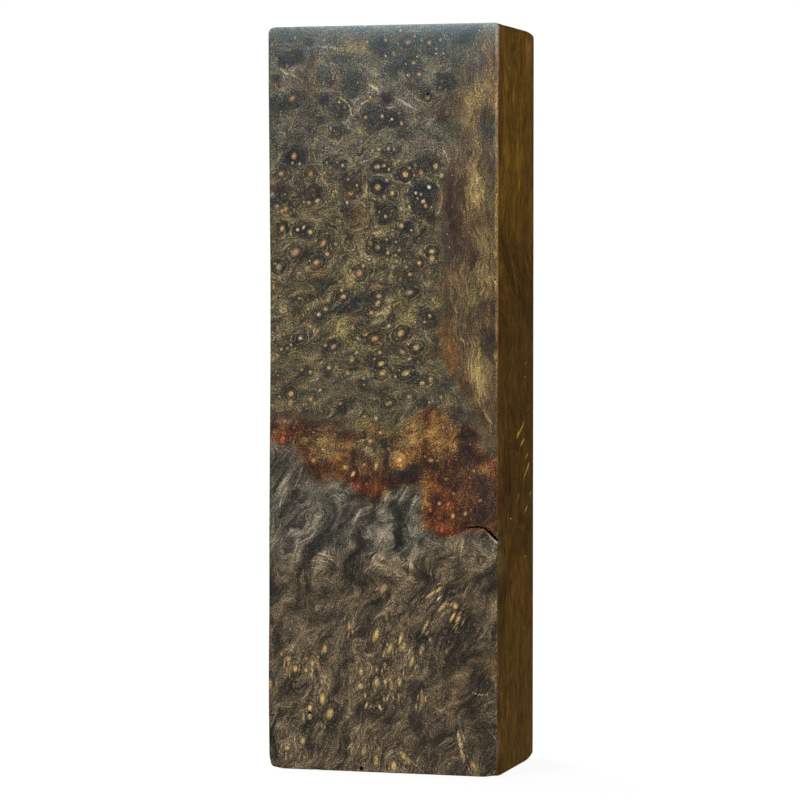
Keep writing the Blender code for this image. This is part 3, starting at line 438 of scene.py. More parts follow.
# Stained patches, each with the kind of wood it turns to and how fully.
STAINS = (
    ((4.0, 121.5, 5.0, 3.5, 0), "inky", 0.8), ((20.0, 122.5, 5.0, 3.0, 0), "inky", 0.6),
    ((31.5, 123.0, 6.0, 2.0, 5), "inky", 0.7), ((34.5, 122.3, 2.6, 1.6, 30), "inky", 0.9),
    ((15.3, 121.6, 2.8, 1.8, 0), "straw", 0.7), ((5.0, 119.5, 1.2, 0.8, 0), "plum", 0.6),
    ((8.0, 118.5, 1.2, 1.6, 0), "rust", 0.3), ((7.5, 115.5, 2.0, 3.5, 0), "umber", 0.6),
    ((3.5, 115.3, 1.5, 0.8, 0), "plum", 0.5), ((21.0, 112.8, 1.6, 1.2, 0), "inky", 0.9),
    ((2.0, 111.0, 2.5, 2.5, 0), "inky", 0.7), ((10.0, 112.8, 1.2, 1.2, 0), "inky", 0.8),
    ((31.5, 115.5, 2.6, 2.4, 0), "inky", 0.7), ((22.5, 118.5, 2.4, 2.4, 0), "inky", 0.7),
    ((31.0, 111.0, 4.0, 2.2, 0), "umber", 0.6), ((33.5, 113.0, 1.6, 4.0, 0), "umber", 0.7),
    ((36.0, 111.5, 1.8, 5.0, -12), "straw", 0.8), ((38.8, 113.0, 1.0, 5.0, 0), "amber", 0.6),
    ((38.6, 119.0, 1.2, 1.8, 0), "rust", 0.6), ((38.0, 122.0, 0.9, 3.0, 0), "straw", 0.4),
    ((38.6, 108.5, 1.4, 2.6, 0), "inky", 0.6), ((5.2, 103.2, 2.6, 2.2, 0), "inky", 0.8),
    ((8.3, 97.0, 2.2, 1.2, 0), "plum", 0.7), ((2.3, 98.0, 2.0, 1.2, 0), "plum", 0.5),
    ((1.2, 95.8, 1.4, 1.2, 0), "inky", 0.9), ((14.5, 97.4, 2.0, 1.6, 0), "umber", 0.6),
    ((16.0, 93.0, 1.8, 2.4, 0), "amber", 0.35), ((24.4, 91.4, 1.7, 1.5, 0), "inky", 0.9),
    ((27.0, 96.5, 2.8, 3.0, 0), "inky", 0.5), ((19.6, 98.0, 1.8, 1.5, 0), "inky", 0.5),
    ((32.2, 96.0, 1.8, 7.0, 0), "plum", 0.75), ((32.6, 88.0, 2.4, 6.0, 0), "plum", 0.8),
    ((36.4, 98.5, 1.8, 4.8, 0), "straw", 0.6), ((39.2, 96.0, 1.0, 6.0, 0), "olive", 0.7),
    ((38.2, 88.0, 1.6, 4.5, 0), "straw", 0.6), ((31.0, 80.0, 2.0, 5.0, 0), "umber", 0.8),
    ((33.5, 77.0, 2.4, 5.0, 10), "umber", 0.7), ((35.6, 80.0, 1.0, 4.0, -8), "olive", 0.7),
    ((38.4, 82.0, 1.8, 3.5, 0), "straw", 0.5), ((38.6, 77.8, 1.2, 1.8, 0), "rust", 0.5),
    ((38.8, 72.5, 1.6, 2.4, 0), "plum", 0.9), ((31.6, 70.5, 1.6, 2.2, -20), "rust", 0.85),
    ((32.6, 68.5, 1.0, 1.6, -30), "ember", 0.5), ((30.8, 73.0, 1.6, 3.0, 0), "amber", 0.6),
    ((36.8, 67.5, 2.2, 3.5, 20), "straw", 0.8), ((34.2, 66.0, 0.8, 1.6, -20), "rust", 0.6),
    ((1.0, 81.5, 0.8, 1.2, 0), "amber", 0.5), ((14.9, 82.4, 1.2, 1.4, 20), "olive", 0.9),
    ((14.5, 78.3, 2.6, 1.6, 20), "inky", 0.6), ((13.6, 74.4, 2.2, 2.4, 20), "olive", 0.8),
    ((24.0, 77.0, 2.5, 2.2, 0), "olive", 0.7), ((18.8, 72.6, 1.6, 1.4, 0), "amber", 0.5),
    ((29.6, 79.2, 1.4, 1.2, 0), "olive", 0.8), ((28.6, 71.0, 2.0, 1.6, 0), "umber", 0.6),
    ((3.5, 59.0, 3.5, 1.2, 5), "plum", 0.8), ((10.5, 58.6, 3.5, 0.9, 5), "plum", 0.7),
    ((2.6, 55.8, 1.4, 1.8, 0), "ember", 0.5), ((10.4, 55.0, 3.0, 2.8, 20), "straw", 0.5), ((16.5, 54.0, 3.6, 3.4, 0), "umber", 0.5),
    ((16.5, 58.6, 2.6, 1.2, 12), "olive", 0.8), ((18.0, 55.5, 2.4, 2.0, 0), "burl", 0.6),
    ((22.5, 58.5, 2.6, 1.0, 5), "olive", 0.7), ((22.5, 55.5, 4.5, 2.4, 12), "olive", 0.5),
    ((24.0, 52.8, 3.0, 1.4, 15), "amber", 0.7), ((24.5, 50.3, 3.6, 1.3, 5), "plum", 0.95),
    ((20.6, 52.6, 0.8, 1.8, 0), "plum", 0.8), ((27.5, 57.5, 3.5, 2.2, 15), "amber", 0.7),
    ((30.6, 56.5, 2.4, 4.2, 0), "amber", 0.85), ((35.0, 55.8, 1.9, 3.4, 0), "plum", 0.55),
    ((16.0, 48.2, 1.6, 1.2, 0), "ember", 0.6), ((18.8, 47.6, 2.2, 1.2, 0), "ember", 0.25),
    ((31.0, 50.5, 3.0, 1.8, -8), "rust", 0.8), ((35.0, 49.0, 3.4, 5.0, 0), "plum", 0.35),
    ((38.0, 47.0, 1.4, 4.0, 0), "plum", 0.6), ((30.8, 44.5, 2.6, 3.0, 0), "ember", 0.3), ((38.2, 46.0, 1.8, 4.5, 0), "plum", 0.6),
    ((36.5, 43.0, 2.4, 1.4, 0), "plum", 0.5), ((32.5, 60.0, 2.4, 1.6, 0), "plum", 0.5),
    ((30.5, 40.9, 1.2, 1.2, 0), "ember", 0.8), ((34.0, 41.2, 3.0, 0.9, 0), "ember", 0.45),
    ((27.2, 46.0, 0.9, 3.0, 0), "amber", 0.5), ((3.0, 53.0, 2.8, 2.4, 0), "silver", 0.6),
    ((22.0, 32.5, 5.0, 3.2, 0), "smoke", 0.7), ((31.5, 35.0, 5.0, 3.6, 0), "smoke", 0.7),
    ((35.0, 37.5, 4.0, 3.0, 0), "smoke", 0.6), ((37.6, 26.0, 2.6, 8.0, 0), "smoke", 0.9),
    ((27.5, 25.0, 4.0, 5.0, 0), "smoke", 0.6), ((33.5, 22.5, 3.2, 5.5, 0), "smoke", 0.8),
    ((12.0, 23.5, 2.6, 2.2, 0), "smoke", 0.6), ((17.0, 19.0, 2.6, 2.6, 0), "smoke", 0.6),
    ((38.4, 19.0, 2.4, 2.6, 0), "umber", 0.8), ((33.6, 16.2, 2.2, 1.4, 0), "umber", 0.6),
    ((29.5, 13.5, 3.0, 4.0, 0), "smoke", 0.8), ((33.0, 12.0, 1.8, 3.0, 0), "umber", 0.6),
    ((36.5, 8.0, 4.0, 6.0, 0), "smoke", 0.8), ((22.0, 6.5, 6.0, 3.0, 0), "smoke", 0.7),
    ((30.0, 4.0, 5.0, 4.5, 0), "smoke", 0.8), ((24.0, 15.0, 3.5, 5.0, 0), "smoke", 0.6),
)

# Bud eyes: the middle, the size across and up, the tilt, the shade, how dark
# the halo round each is and how bright the eye.
FRONT_EYES = (
    (0.85, 122.0, 0.50, 0.55, 0, "pink", 0.3, 1.0), (23.25, 123.95, 0.60, 0.45, 0, "cream", 0.3, 1.0),
    (24.6, 122.0, 1.30, 0.75, 15, "pink", 0.6, 1.0), (25.7, 123.0, 0.60, 0.60, 0, "tan", 0.4, 1.0),
    (28.2, 121.9, 0.75, 0.80, 0, "orange", 0.7, 1.0), (30.15, 122.3, 0.65, 0.70, 0, "pink", 0.7, 1.0),
    (29.4, 120.05, 0.50, 0.25, 0, "white", 0.5, 1.0), (30.65, 120.05, 0.45, 0.22, 0, "white", 0.5, 1.0),
    (36.75, 123.75, 0.20, 0.30, 0, "white", 0.2, 1.0), (25.5, 118.6, 0.85, 0.70, 0, "tan", 0.6, 0.9),
    (26.1, 119.6, 0.35, 0.30, 0, "white", 0.4, 0.8), (24.6, 116.55, 0.65, 0.60, 0, "cream", 0.5, 0.9),
    (26.5, 116.65, 0.90, 0.90, 0, "tan", 0.5, 1.0), (28.8, 115.5, 0.50, 0.50, 0, "dusk", 0.3, 1.0),
    (30.05, 114.4, 0.60, 0.50, 0, "orange", 0.5, 0.7), (27.95, 112.8, 0.75, 0.70, 0, "orange", 0.6, 1.0),
    (29.15, 113.8, 0.25, 0.25, 0, "white", 0.3, 0.8), (9.85, 115.4, 0.45, 0.55, 0, "pink", 0.4, 1.0),
    (4.35, 113.0, 1.40, 1.00, 20, "orange", 0.4, 0.7), (15.9, 112.75, 0.40, 0.25, 30, "white", 0.3, 0.9),
    (16.5, 113.0, 0.30, 0.20, 30, "white", 0.2, 0.7), (12.75, 122.3, 0.50, 0.50, 0, "dusk", 0.3, 1.0),
    (21.8, 109.3, 0.50, 0.50, 0, "white", 0.5, 1.0), (21.4, 109.0, 0.30, 0.30, 0, "cream", 0.3, 0.9),
    (23.45, 108.6, 0.50, 0.80, 0, "gold", 0.5, 1.0), (23.0, 110.3, 0.70, 0.50, 0, "gold", 0.3, 0.7),
    (11.75, 107.5, 0.35, 0.30, 0, "pink", 0.3, 1.0), (3.0, 107.1, 0.60, 0.50, 0, "tan", 0.3, 0.9),
    (12.3, 111.2, 0.90, 0.80, 0, "dusk", 0.5, 1.0), (17.4, 115.6, 0.60, 0.50, 20, "dusk", 0.3, 0.8),
    (26.5, 109.5, 0.90, 0.60, 0, "tan", 0.1, 0.7), (7.0, 122.3, 0.70, 0.50, 0, "dusk", 0.7, 0.4),
    (1.3, 116.4, 0.60, 0.60, 0, "dusk", 0.8, 0.4), (4.7, 103.3, 0.95, 1.15, 0, "orange", 0.9, 1.0),
    (2.4, 100.4, 1.10, 0.90, 20, "tan", 0.5, 0.8), (7.6, 100.3, 1.00, 1.30, 0, "orange", 0.5, 0.8),
    (9.2, 100.4, 1.10, 0.40, -40, "tan", 0.3, 1.0), (10.4, 102.2, 0.30, 0.55, 0, "white", 0.3, 0.9),
    (12.3, 102.2, 0.50, 0.40, 0, "tan", 0.4, 0.9), (13.2, 101.7, 0.55, 0.60, 0, "cream", 0.5, 1.0),
    (14.5, 100.3, 0.90, 0.40, 25, "orange", 0.4, 0.9), (5.5, 99.4, 0.80, 0.80, 0, "dusk", 0.6, 0.7),
    (8.0, 97.7, 1.00, 0.60, 0, "dusk", 0.5, 0.7), (8.8, 95.8, 1.00, 0.90, 30, "tan", 0.6, 1.0),
    (6.4, 95.6, 0.50, 0.50, 0, "tan", 0.4, 0.8), (7.3, 95.5, 0.80, 0.80, 0, "tan", 0.6, 0.9),
    (14.0, 95.5, 0.50, 0.60, 0, "white", 0.5, 0.9), (14.6, 97.0, 1.20, 0.90, 0, "orange", 0.4, 0.7),
    (3.3, 94.4, 1.10, 1.40, 0, "orange", 0.4, 0.75), (1.6, 95.0, 1.00, 0.70, 0, "pink", 0.5, 0.9),
    (2.6, 91.2, 0.95, 1.30, -10, "orange", 0.6, 1.0), (5.3, 91.0, 0.60, 0.60, 0, "cream", 0.6, 1.0),
    (6.4, 91.4, 0.50, 0.90, -30, "cream", 0.5, 0.9), (7.5, 90.6, 0.95, 1.00, 0, "gold", 0.7, 1.0),
    (9.8, 88.7, 0.90, 1.60, -35, "tan", 0.5, 0.9), (10.5, 90.4, 0.40, 0.30, 0, "cream", 0.4, 0.9),
    (10.5, 86.9, 0.90, 0.90, 0, "orange", 0.6, 1.0), (4.9, 87.2, 2.00, 1.40, 35, "pink", 0.4, 0.8),
    (4.3, 87.3, 0.50, 0.50, 0, "cream", 0.1, 1.0), (8.6, 85.5, 1.30, 1.10, 20, "orange", 0.6, 1.0),
    (2.0, 84.7, 1.10, 1.20, 0, "tan", 0.5, 1.0), (1.3, 85.3, 0.60, 0.40, 20, "tan", 0.2, 0.9),
    (19.2, 101.4, 1.10, 0.90, 0, "cream", 0.7, 0.85), (20.4, 101.6, 0.80, 0.60, 0, "tan", 0.5, 0.9),
    (19.5, 104.3, 0.70, 0.60, 0, "cream", 0.6, 0.75), (21.2, 104.4, 0.60, 0.80, 0, "cream", 0.6, 0.75),
    (22.1, 104.3, 0.40, 0.70, 0, "cream", 0.5, 0.7), (24.1, 100.1, 1.10, 1.10, 0, "gold", 0.9, 1.1),
    (26.8, 100.4, 0.90, 0.90, 0, "orange", 0.6, 0.95), (29.3, 101.4, 0.85, 1.10, 0, "gold", 0.6, 1.0),
    (30.3, 99.9, 0.80, 0.90, 0, "cream", 0.6, 0.9), (28.2, 98.0, 0.70, 0.70, 0, "white", 0.8, 0.9),
    (19.3, 98.0, 1.10, 1.10, 0, "gold", 0.9, 1.1), (21.8, 97.0, 0.80, 1.10, 0, "gold", 0.7, 1.0),
    (19.6, 96.0, 0.50, 0.70, 0, "cream", 0.4, 0.9), (20.4, 96.5, 0.40, 0.60, 0, "cream", 0.3, 0.8),
    (19.6, 93.9, 0.40, 0.50, 0, "cream", 0.4, 0.7), (25.9, 97.0, 0.60, 0.60, 0, "cream", 0.7, 1.0),
    (26.2, 96.1, 0.50, 0.50, 0, "tan", 0.5, 0.9), (27.2, 95.6, 0.80, 0.70, 30, "cream", 0.7, 1.1),
    (27.6, 94.9, 0.70, 0.90, 0, "orange", 0.7, 1.0), (28.6, 94.7, 0.35, 0.50, 0, "cream", 0.5, 0.8),
    (23.4, 91.6, 0.90, 0.90, 0, "tan", 0.9, 1.1), (18.9, 91.4, 0.40, 0.50, 0, "cream", 0.4, 0.7),
    (21.9, 90.9, 0.50, 0.30, 0, "cream", 0.4, 0.7), (20.9, 89.3, 0.50, 0.40, 0, "cream", 0.5, 0.9),
    (19.3, 88.0, 0.90, 0.90, 0, "tan", 0.8, 0.9), (21.1, 87.1, 0.50, 0.60, 0, "cream", 0.6, 0.9),
    (22.4, 86.7, 0.40, 0.40, 0, "cream", 0.4, 0.8), (17.8, 86.0, 0.60, 0.50, 0, "cream", 0.5, 0.9),
    (21.0, 86.0, 0.40, 0.30, 0, "cream", 0.4, 0.8), (22.5, 88.9, 0.50, 0.50, 0, "cream", 0.6, 0.7),
    (24.6, 88.7, 0.90, 0.90, 0, "dusk", 0.6, 1.0), (24.3, 86.5, 0.50, 0.50, 0, "dusk", 0.6, 1.0),
    (23.9, 85.6, 0.30, 0.35, 0, "cream", 0.4, 0.9), (28.7, 87.3, 1.10, 0.90, 0, "gold", 0.8, 1.05),
    (28.7, 86.2, 1.00, 1.20, 0, "gold", 0.6, 1.15), (26.8, 87.0, 1.40, 0.60, -50, "tan", 0.5, 1.0),
    (26.5, 85.4, 0.80, 0.80, 0, "gold", 0.7, 1.0), (21.9, 84.7, 0.60, 0.70, 0, "tan", 0.4, 1.0),
    (21.2, 85.1, 0.50, 0.40, 0, "tan", 0.3, 0.9), (31.3, 90.2, 0.25, 0.25, 0, "white", 0.2, 0.8),
    (32.2, 99.9, 0.20, 0.20, 0, "white", 0.1, 0.8), (31.7, 88.0, 0.20, 0.20, 0, "white", 0.1, 0.8),
    (16.1, 83.7, 1.20, 1.30, 0, "orange", 0.6, 0.95), (1.0, 81.4, 0.80, 1.20, 0, "orange", 0.3, 0.8),
    (2.1, 82.9, 0.70, 1.00, -20, "tan", 0.3, 0.85), (12.8, 82.3, 0.80, 0.60, 0, "gold", 0.6, 0.95),
    (19.9, 82.7, 0.50, 0.60, 0, "tan", 0.4, 0.9), (21.9, 83.2, 0.50, 0.60, 0, "tan", 0.4, 0.9),
    (24.9, 83.5, 0.70, 0.60, 0, "cream", 0.7, 0.9), (24.8, 80.5, 1.40, 0.80, 10, "cream", 0.6, 0.9),
    (13.3, 79.8, 1.20, 0.80, 20, "orange", 0.7, 1.0), (10.6, 79.2, 0.80, 0.90, 0, "pink", 0.6, 0.9),
    (9.6, 79.0, 0.50, 0.50, 0, "tan", 0.4, 0.8), (5.6, 79.5, 0.50, 0.45, 0, "pink", 0.5, 1.0),
    (7.2, 77.7, 0.90, 0.60, 20, "tan", 0.5, 0.9), (10.2, 77.7, 1.00, 0.80, 0, "olive", 0.4, 1.0),
    (9.0, 76.8, 0.90, 0.80, 0, "cream", 0.7, 0.9), (19.5, 79.9, 1.10, 0.90, 0, "pink", 0.7, 1.0),
    (19.3, 78.7, 0.80, 1.40, -40, "tan", 0.5, 1.0), (18.2, 77.1, 0.90, 0.80, 0, "tan", 0.6, 1.0),
    (19.3, 77.3, 1.20, 0.50, 35, "tan", 0.3, 0.9), (28.3, 76.6, 0.60, 0.70, 0, "cream", 0.7, 0.9),
    (27.4, 75.6, 0.60, 0.50, 0, "cream", 0.6, 0.8), (7.5, 74.8, 0.80, 0.50, -35, "pink", 0.5, 1.0),
    (5.8, 72.8, 0.80, 0.70, 0, "cream", 0.8, 1.0), (11.1, 73.0, 1.00, 0.60, 30, "orange", 0.6, 0.95),
    (10.1, 71.6, 0.60, 0.70, 0, "tan", 0.6, 0.9), (11.6, 71.4, 1.20, 0.80, 30, "pink", 0.6, 0.95),
    (17.3, 73.5, 0.90, 0.50, 30, "orange", 0.5, 1.0), (18.8, 72.8, 1.40, 1.00, 20, "orange", 0.6, 0.95),
    (21.2, 74.9, 1.00, 0.60, 35, "cream", 0.6, 0.85), (23.3, 73.7, 1.50, 1.10, 40, "gold", 0.8, 0.9),
    (26.0, 71.4, 1.30, 1.00, 30, "gold", 0.7, 1.1), (23.6, 70.6, 0.90, 0.70, 0, "cream", 0.6, 1.0),
    (24.8, 69.4, 0.90, 0.40, 20, "cream", 0.3, 0.8), (2.4, 70.9, 0.60, 0.60, 0, "orange", 0.5, 1.0),
    (15.6, 70.4, 0.80, 0.50, 40, "cream", 0.5, 0.95), (14.8, 69.3, 0.90, 1.20, -30, "olive", 0.4, 1.1),
    (10.8, 67.9, 1.00, 0.80, 35, "tan", 0.7, 1.0), (6.0, 67.5, 0.70, 0.50, 40, "pink", 0.6, 1.0),
    (7.5, 67.1, 0.60, 0.80, 0, "olive", 0.5, 1.0), (8.7, 65.9, 0.80, 0.40, 40, "cream", 0.3, 0.8),
    (19.9, 68.6, 1.20, 0.80, 30, "gold", 0.8, 1.15), (20.2, 67.1, 1.50, 1.00, 35, "gold", 0.6, 0.85),
    (14.0, 67.0, 0.90, 0.90, 0, "tan", 0.7, 0.95), (24.2, 67.1, 1.60, 1.00, 20, "gold", 0.8, 1.1),
    (27.0, 65.4, 1.00, 0.80, 20, "gold", 0.8, 1.1), (28.5, 66.1, 0.80, 1.20, 0, "tan", 0.5, 0.9),
    (9.2, 64.1, 0.80, 0.50, 30, "cream", 0.6, 1.0), (4.1, 63.4, 1.00, 1.10, 0, "gold", 0.7, 1.0),
    (24.8, 63.2, 1.20, 0.90, 20, "pink", 0.5, 0.85), (4.0, 61.9, 1.00, 1.50, -20, "tan", 0.5, 0.9),
    (7.6, 62.6, 0.80, 1.40, -30, "orange", 0.6, 0.9), (21.2, 62.0, 1.30, 0.70, 20, "gold", 0.6, 1.0),
    (19.0, 59.5, 0.60, 0.80, 0, "cream", 0.6, 1.15), (2.6, 55.7, 1.00, 1.60, -10, "ember", 0.5, 1.15),
    (3.0, 58.8, 0.90, 0.80, 0, "orange", 0.2, 0.7), (9.7, 54.1, 0.70, 0.70, 0, "pink", 0.4, 1.1),
    (8.1, 52.3, 1.00, 0.90, 20, "orange", 0.5, 0.95), (18.0, 55.7, 1.00, 0.90, 20, "orange", 0.5, 1.0),
    (19.8, 57.1, 0.90, 0.70, 20, "orange", 0.4, 0.9), (23.1, 52.6, 1.40, 1.20, 30, "gold", 0.4, 1.0),
    (13.6, 51.2, 1.20, 0.80, 0, "gold", 0.3, 0.9), (15.0, 50.1, 0.70, 1.40, -30, "orange", 0.5, 1.05),
    (19.0, 51.5, 0.80, 1.60, -15, "gold", 0.3, 0.95), (15.9, 48.1, 1.00, 1.00, 0, "ember", 0.4, 0.8),
    (17.0, 51.7, 0.80, 0.50, 20, "orange", 0.3, 0.9), (28.4, 44.3, 0.70, 0.80, 0, "ember", 0.4, 1.0),
    (31.5, 45.4, 0.80, 1.10, -15, "ember", 0.4, 0.9), (32.3, 43.4, 0.70, 1.10, -10, "orange", 0.4, 1.1),
    (28.5, 52.6, 1.00, 0.70, 0, "orange", 0.4, 0.8), (30.4, 41.1, 0.70, 1.40, 0, "ember", 0.3, 0.85),
    (28.5, 30.2, 0.50, 1.80, -50, "cream", 0.6, 1.1), (29.8, 31.0, 0.50, 1.20, -45, "cream", 0.5, 1.0),
    (29.9, 29.6, 0.30, 1.00, -40, "white", 0.4, 1.0), (30.5, 28.2, 0.60, 2.20, -40, "cream", 0.5, 1.0),
    (32.8, 28.4, 0.90, 1.00, -30, "gold", 0.5, 0.95), (32.3, 26.6, 0.50, 1.80, -30, "gold", 0.5, 1.0),
    (33.2, 26.3, 0.60, 1.20, -30, "gold", 0.5, 1.05), (27.6, 24.9, 0.50, 2.20, -25, "cream", 0.5, 1.0),
    (19.0, 23.2, 1.00, 2.40, -20, "gold", 0.6, 0.95), (23.3, 22.7, 0.60, 2.00, -20, "cream", 0.5, 0.95),
    (21.4, 21.0, 0.90, 1.80, -25, "gold", 0.4, 0.85), (23.6, 21.3, 0.90, 1.60, -30, "gold", 0.5, 0.95),
    (26.9, 20.9, 0.80, 1.80, -15, "pink", 0.5, 1.05), (28.4, 22.6, 0.50, 0.80, 0, "gold", 0.4, 0.8),
    (14.3, 24.5, 0.60, 1.40, 0, "orange", 0.4, 1.0), (14.9, 23.6, 0.40, 0.40, 0, "cream", 0.2, 0.9),
    (20.3, 31.0, 1.00, 1.60, -30, "cream", 0.3, 0.75), (10.0, 20.6, 0.80, 1.50, 0, "gold", 0.5, 0.9),
    (2.4, 19.5, 0.50, 0.90, 0, "tan", 0.3, 0.75), (3.6, 18.7, 0.80, 1.00, 0, "gold", 0.5, 0.85),
    (3.6, 17.9, 0.50, 1.00, 0, "tan", 0.3, 0.75), (4.8, 17.1, 0.90, 1.20, 0, "gold", 0.6, 0.95),
    (4.6, 18.1, 0.70, 0.90, 0, "dusk", 0.3, 0.9), (6.7, 16.9, 0.80, 0.80, 0, "gold", 0.5, 0.85),
    (6.8, 18.8, 0.90, 0.60, 0, "tan", 0.4, 0.75), (7.8, 18.1, 0.70, 1.20, 0, "gold", 0.5, 0.85),
    (8.8, 17.8, 0.60, 1.40, 0, "tan", 0.4, 0.8), (3.8, 16.1, 0.25, 1.20, 0, "gold", 0.3, 0.85),
    (0.3, 14.3, 0.70, 1.60, 0, "gold", 0.3, 0.85), (9.6, 12.2, 0.95, 1.80, 0, "gold", 0.6, 1.05),
    (7.4, 10.5, 0.80, 1.00, 0, "cream", 0.5, 0.95), (7.35, 9.1, 0.70, 1.00, 0, "cream", 0.5, 0.95),
    (10.9, 9.7, 1.10, 1.60, -20, "gold", 0.6, 1.1), (3.3, 3.6, 1.10, 0.80, 0, "gold", 0.5, 0.95),
    (6.1, 4.9, 0.90, 1.20, -20, "gold", 0.4, 0.85), (4.0, 2.3, 0.50, 0.90, 0, "tan", 0.3, 0.85),
    (16.4, 16.9, 0.70, 1.30, 0, "cream", 0.5, 0.85), (16.3, 14.5, 1.00, 0.90, 0, "cream", 0.5, 0.95),
    (17.1, 12.9, 0.40, 0.90, 0, "cream", 0.3, 0.8), (19.1, 15.3, 0.85, 1.60, 0, "cream", 0.6, 0.95),
    (20.6, 15.4, 0.50, 1.00, 0, "cream", 0.4, 0.9), (21.4, 15.7, 0.60, 0.50, 0, "pink", 0.4, 1.0),
    (21.7, 14.8, 0.60, 1.60, 0, "gold", 0.4, 0.9), (23.1, 15.5, 0.70, 1.50, 0, "cream", 0.5, 0.9),
    (20.5, 18.1, 0.50, 0.90, 0, "cream", 0.4, 0.85), (19.1, 17.4, 0.40, 0.90, 0, "cream", 0.4, 0.8),
    (25.2, 18.9, 0.70, 1.90, -20, "cream", 0.5, 0.85), (27.0, 12.6, 0.60, 2.20, 0, "gold", 0.5, 0.95),
    (27.6, 12.7, 0.35, 1.10, 0, "gold", 0.4, 0.85), (22.0, 12.8, 0.40, 0.80, 0, "gold", 0.3, 0.7),
    (20.4, 12.4, 0.50, 0.70, 0, "gold", 0.3, 0.7), (17.3, 11.3, 0.40, 1.20, -20, "cream", 0.3, 0.8),
    (19.7, 11.0, 0.50, 1.10, 30, "cream", 0.5, 0.95), (14.5, 4.4, 0.40, 1.40, -35, "cream", 0.4, 0.9),
    (16.9, 3.5, 0.80, 1.60, -15, "cream", 0.4, 0.8), (19.0, 2.0, 0.75, 1.70, 0, "gold", 0.6, 1.0),
    (19.4, 4.0, 0.40, 1.00, 0, "gold", 0.3, 0.7), (22.1, 1.3, 1.00, 1.60, 0, "gold", 0.5, 1.0),
    (23.7, 3.1, 0.90, 1.60, 35, "gold", 0.5, 0.95), (24.6, 2.2, 0.90, 1.30, 30, "gold", 0.4, 0.85),
    (36.0, 1.8, 0.60, 1.80, 30, "gold", 0.3, 0.75),
)

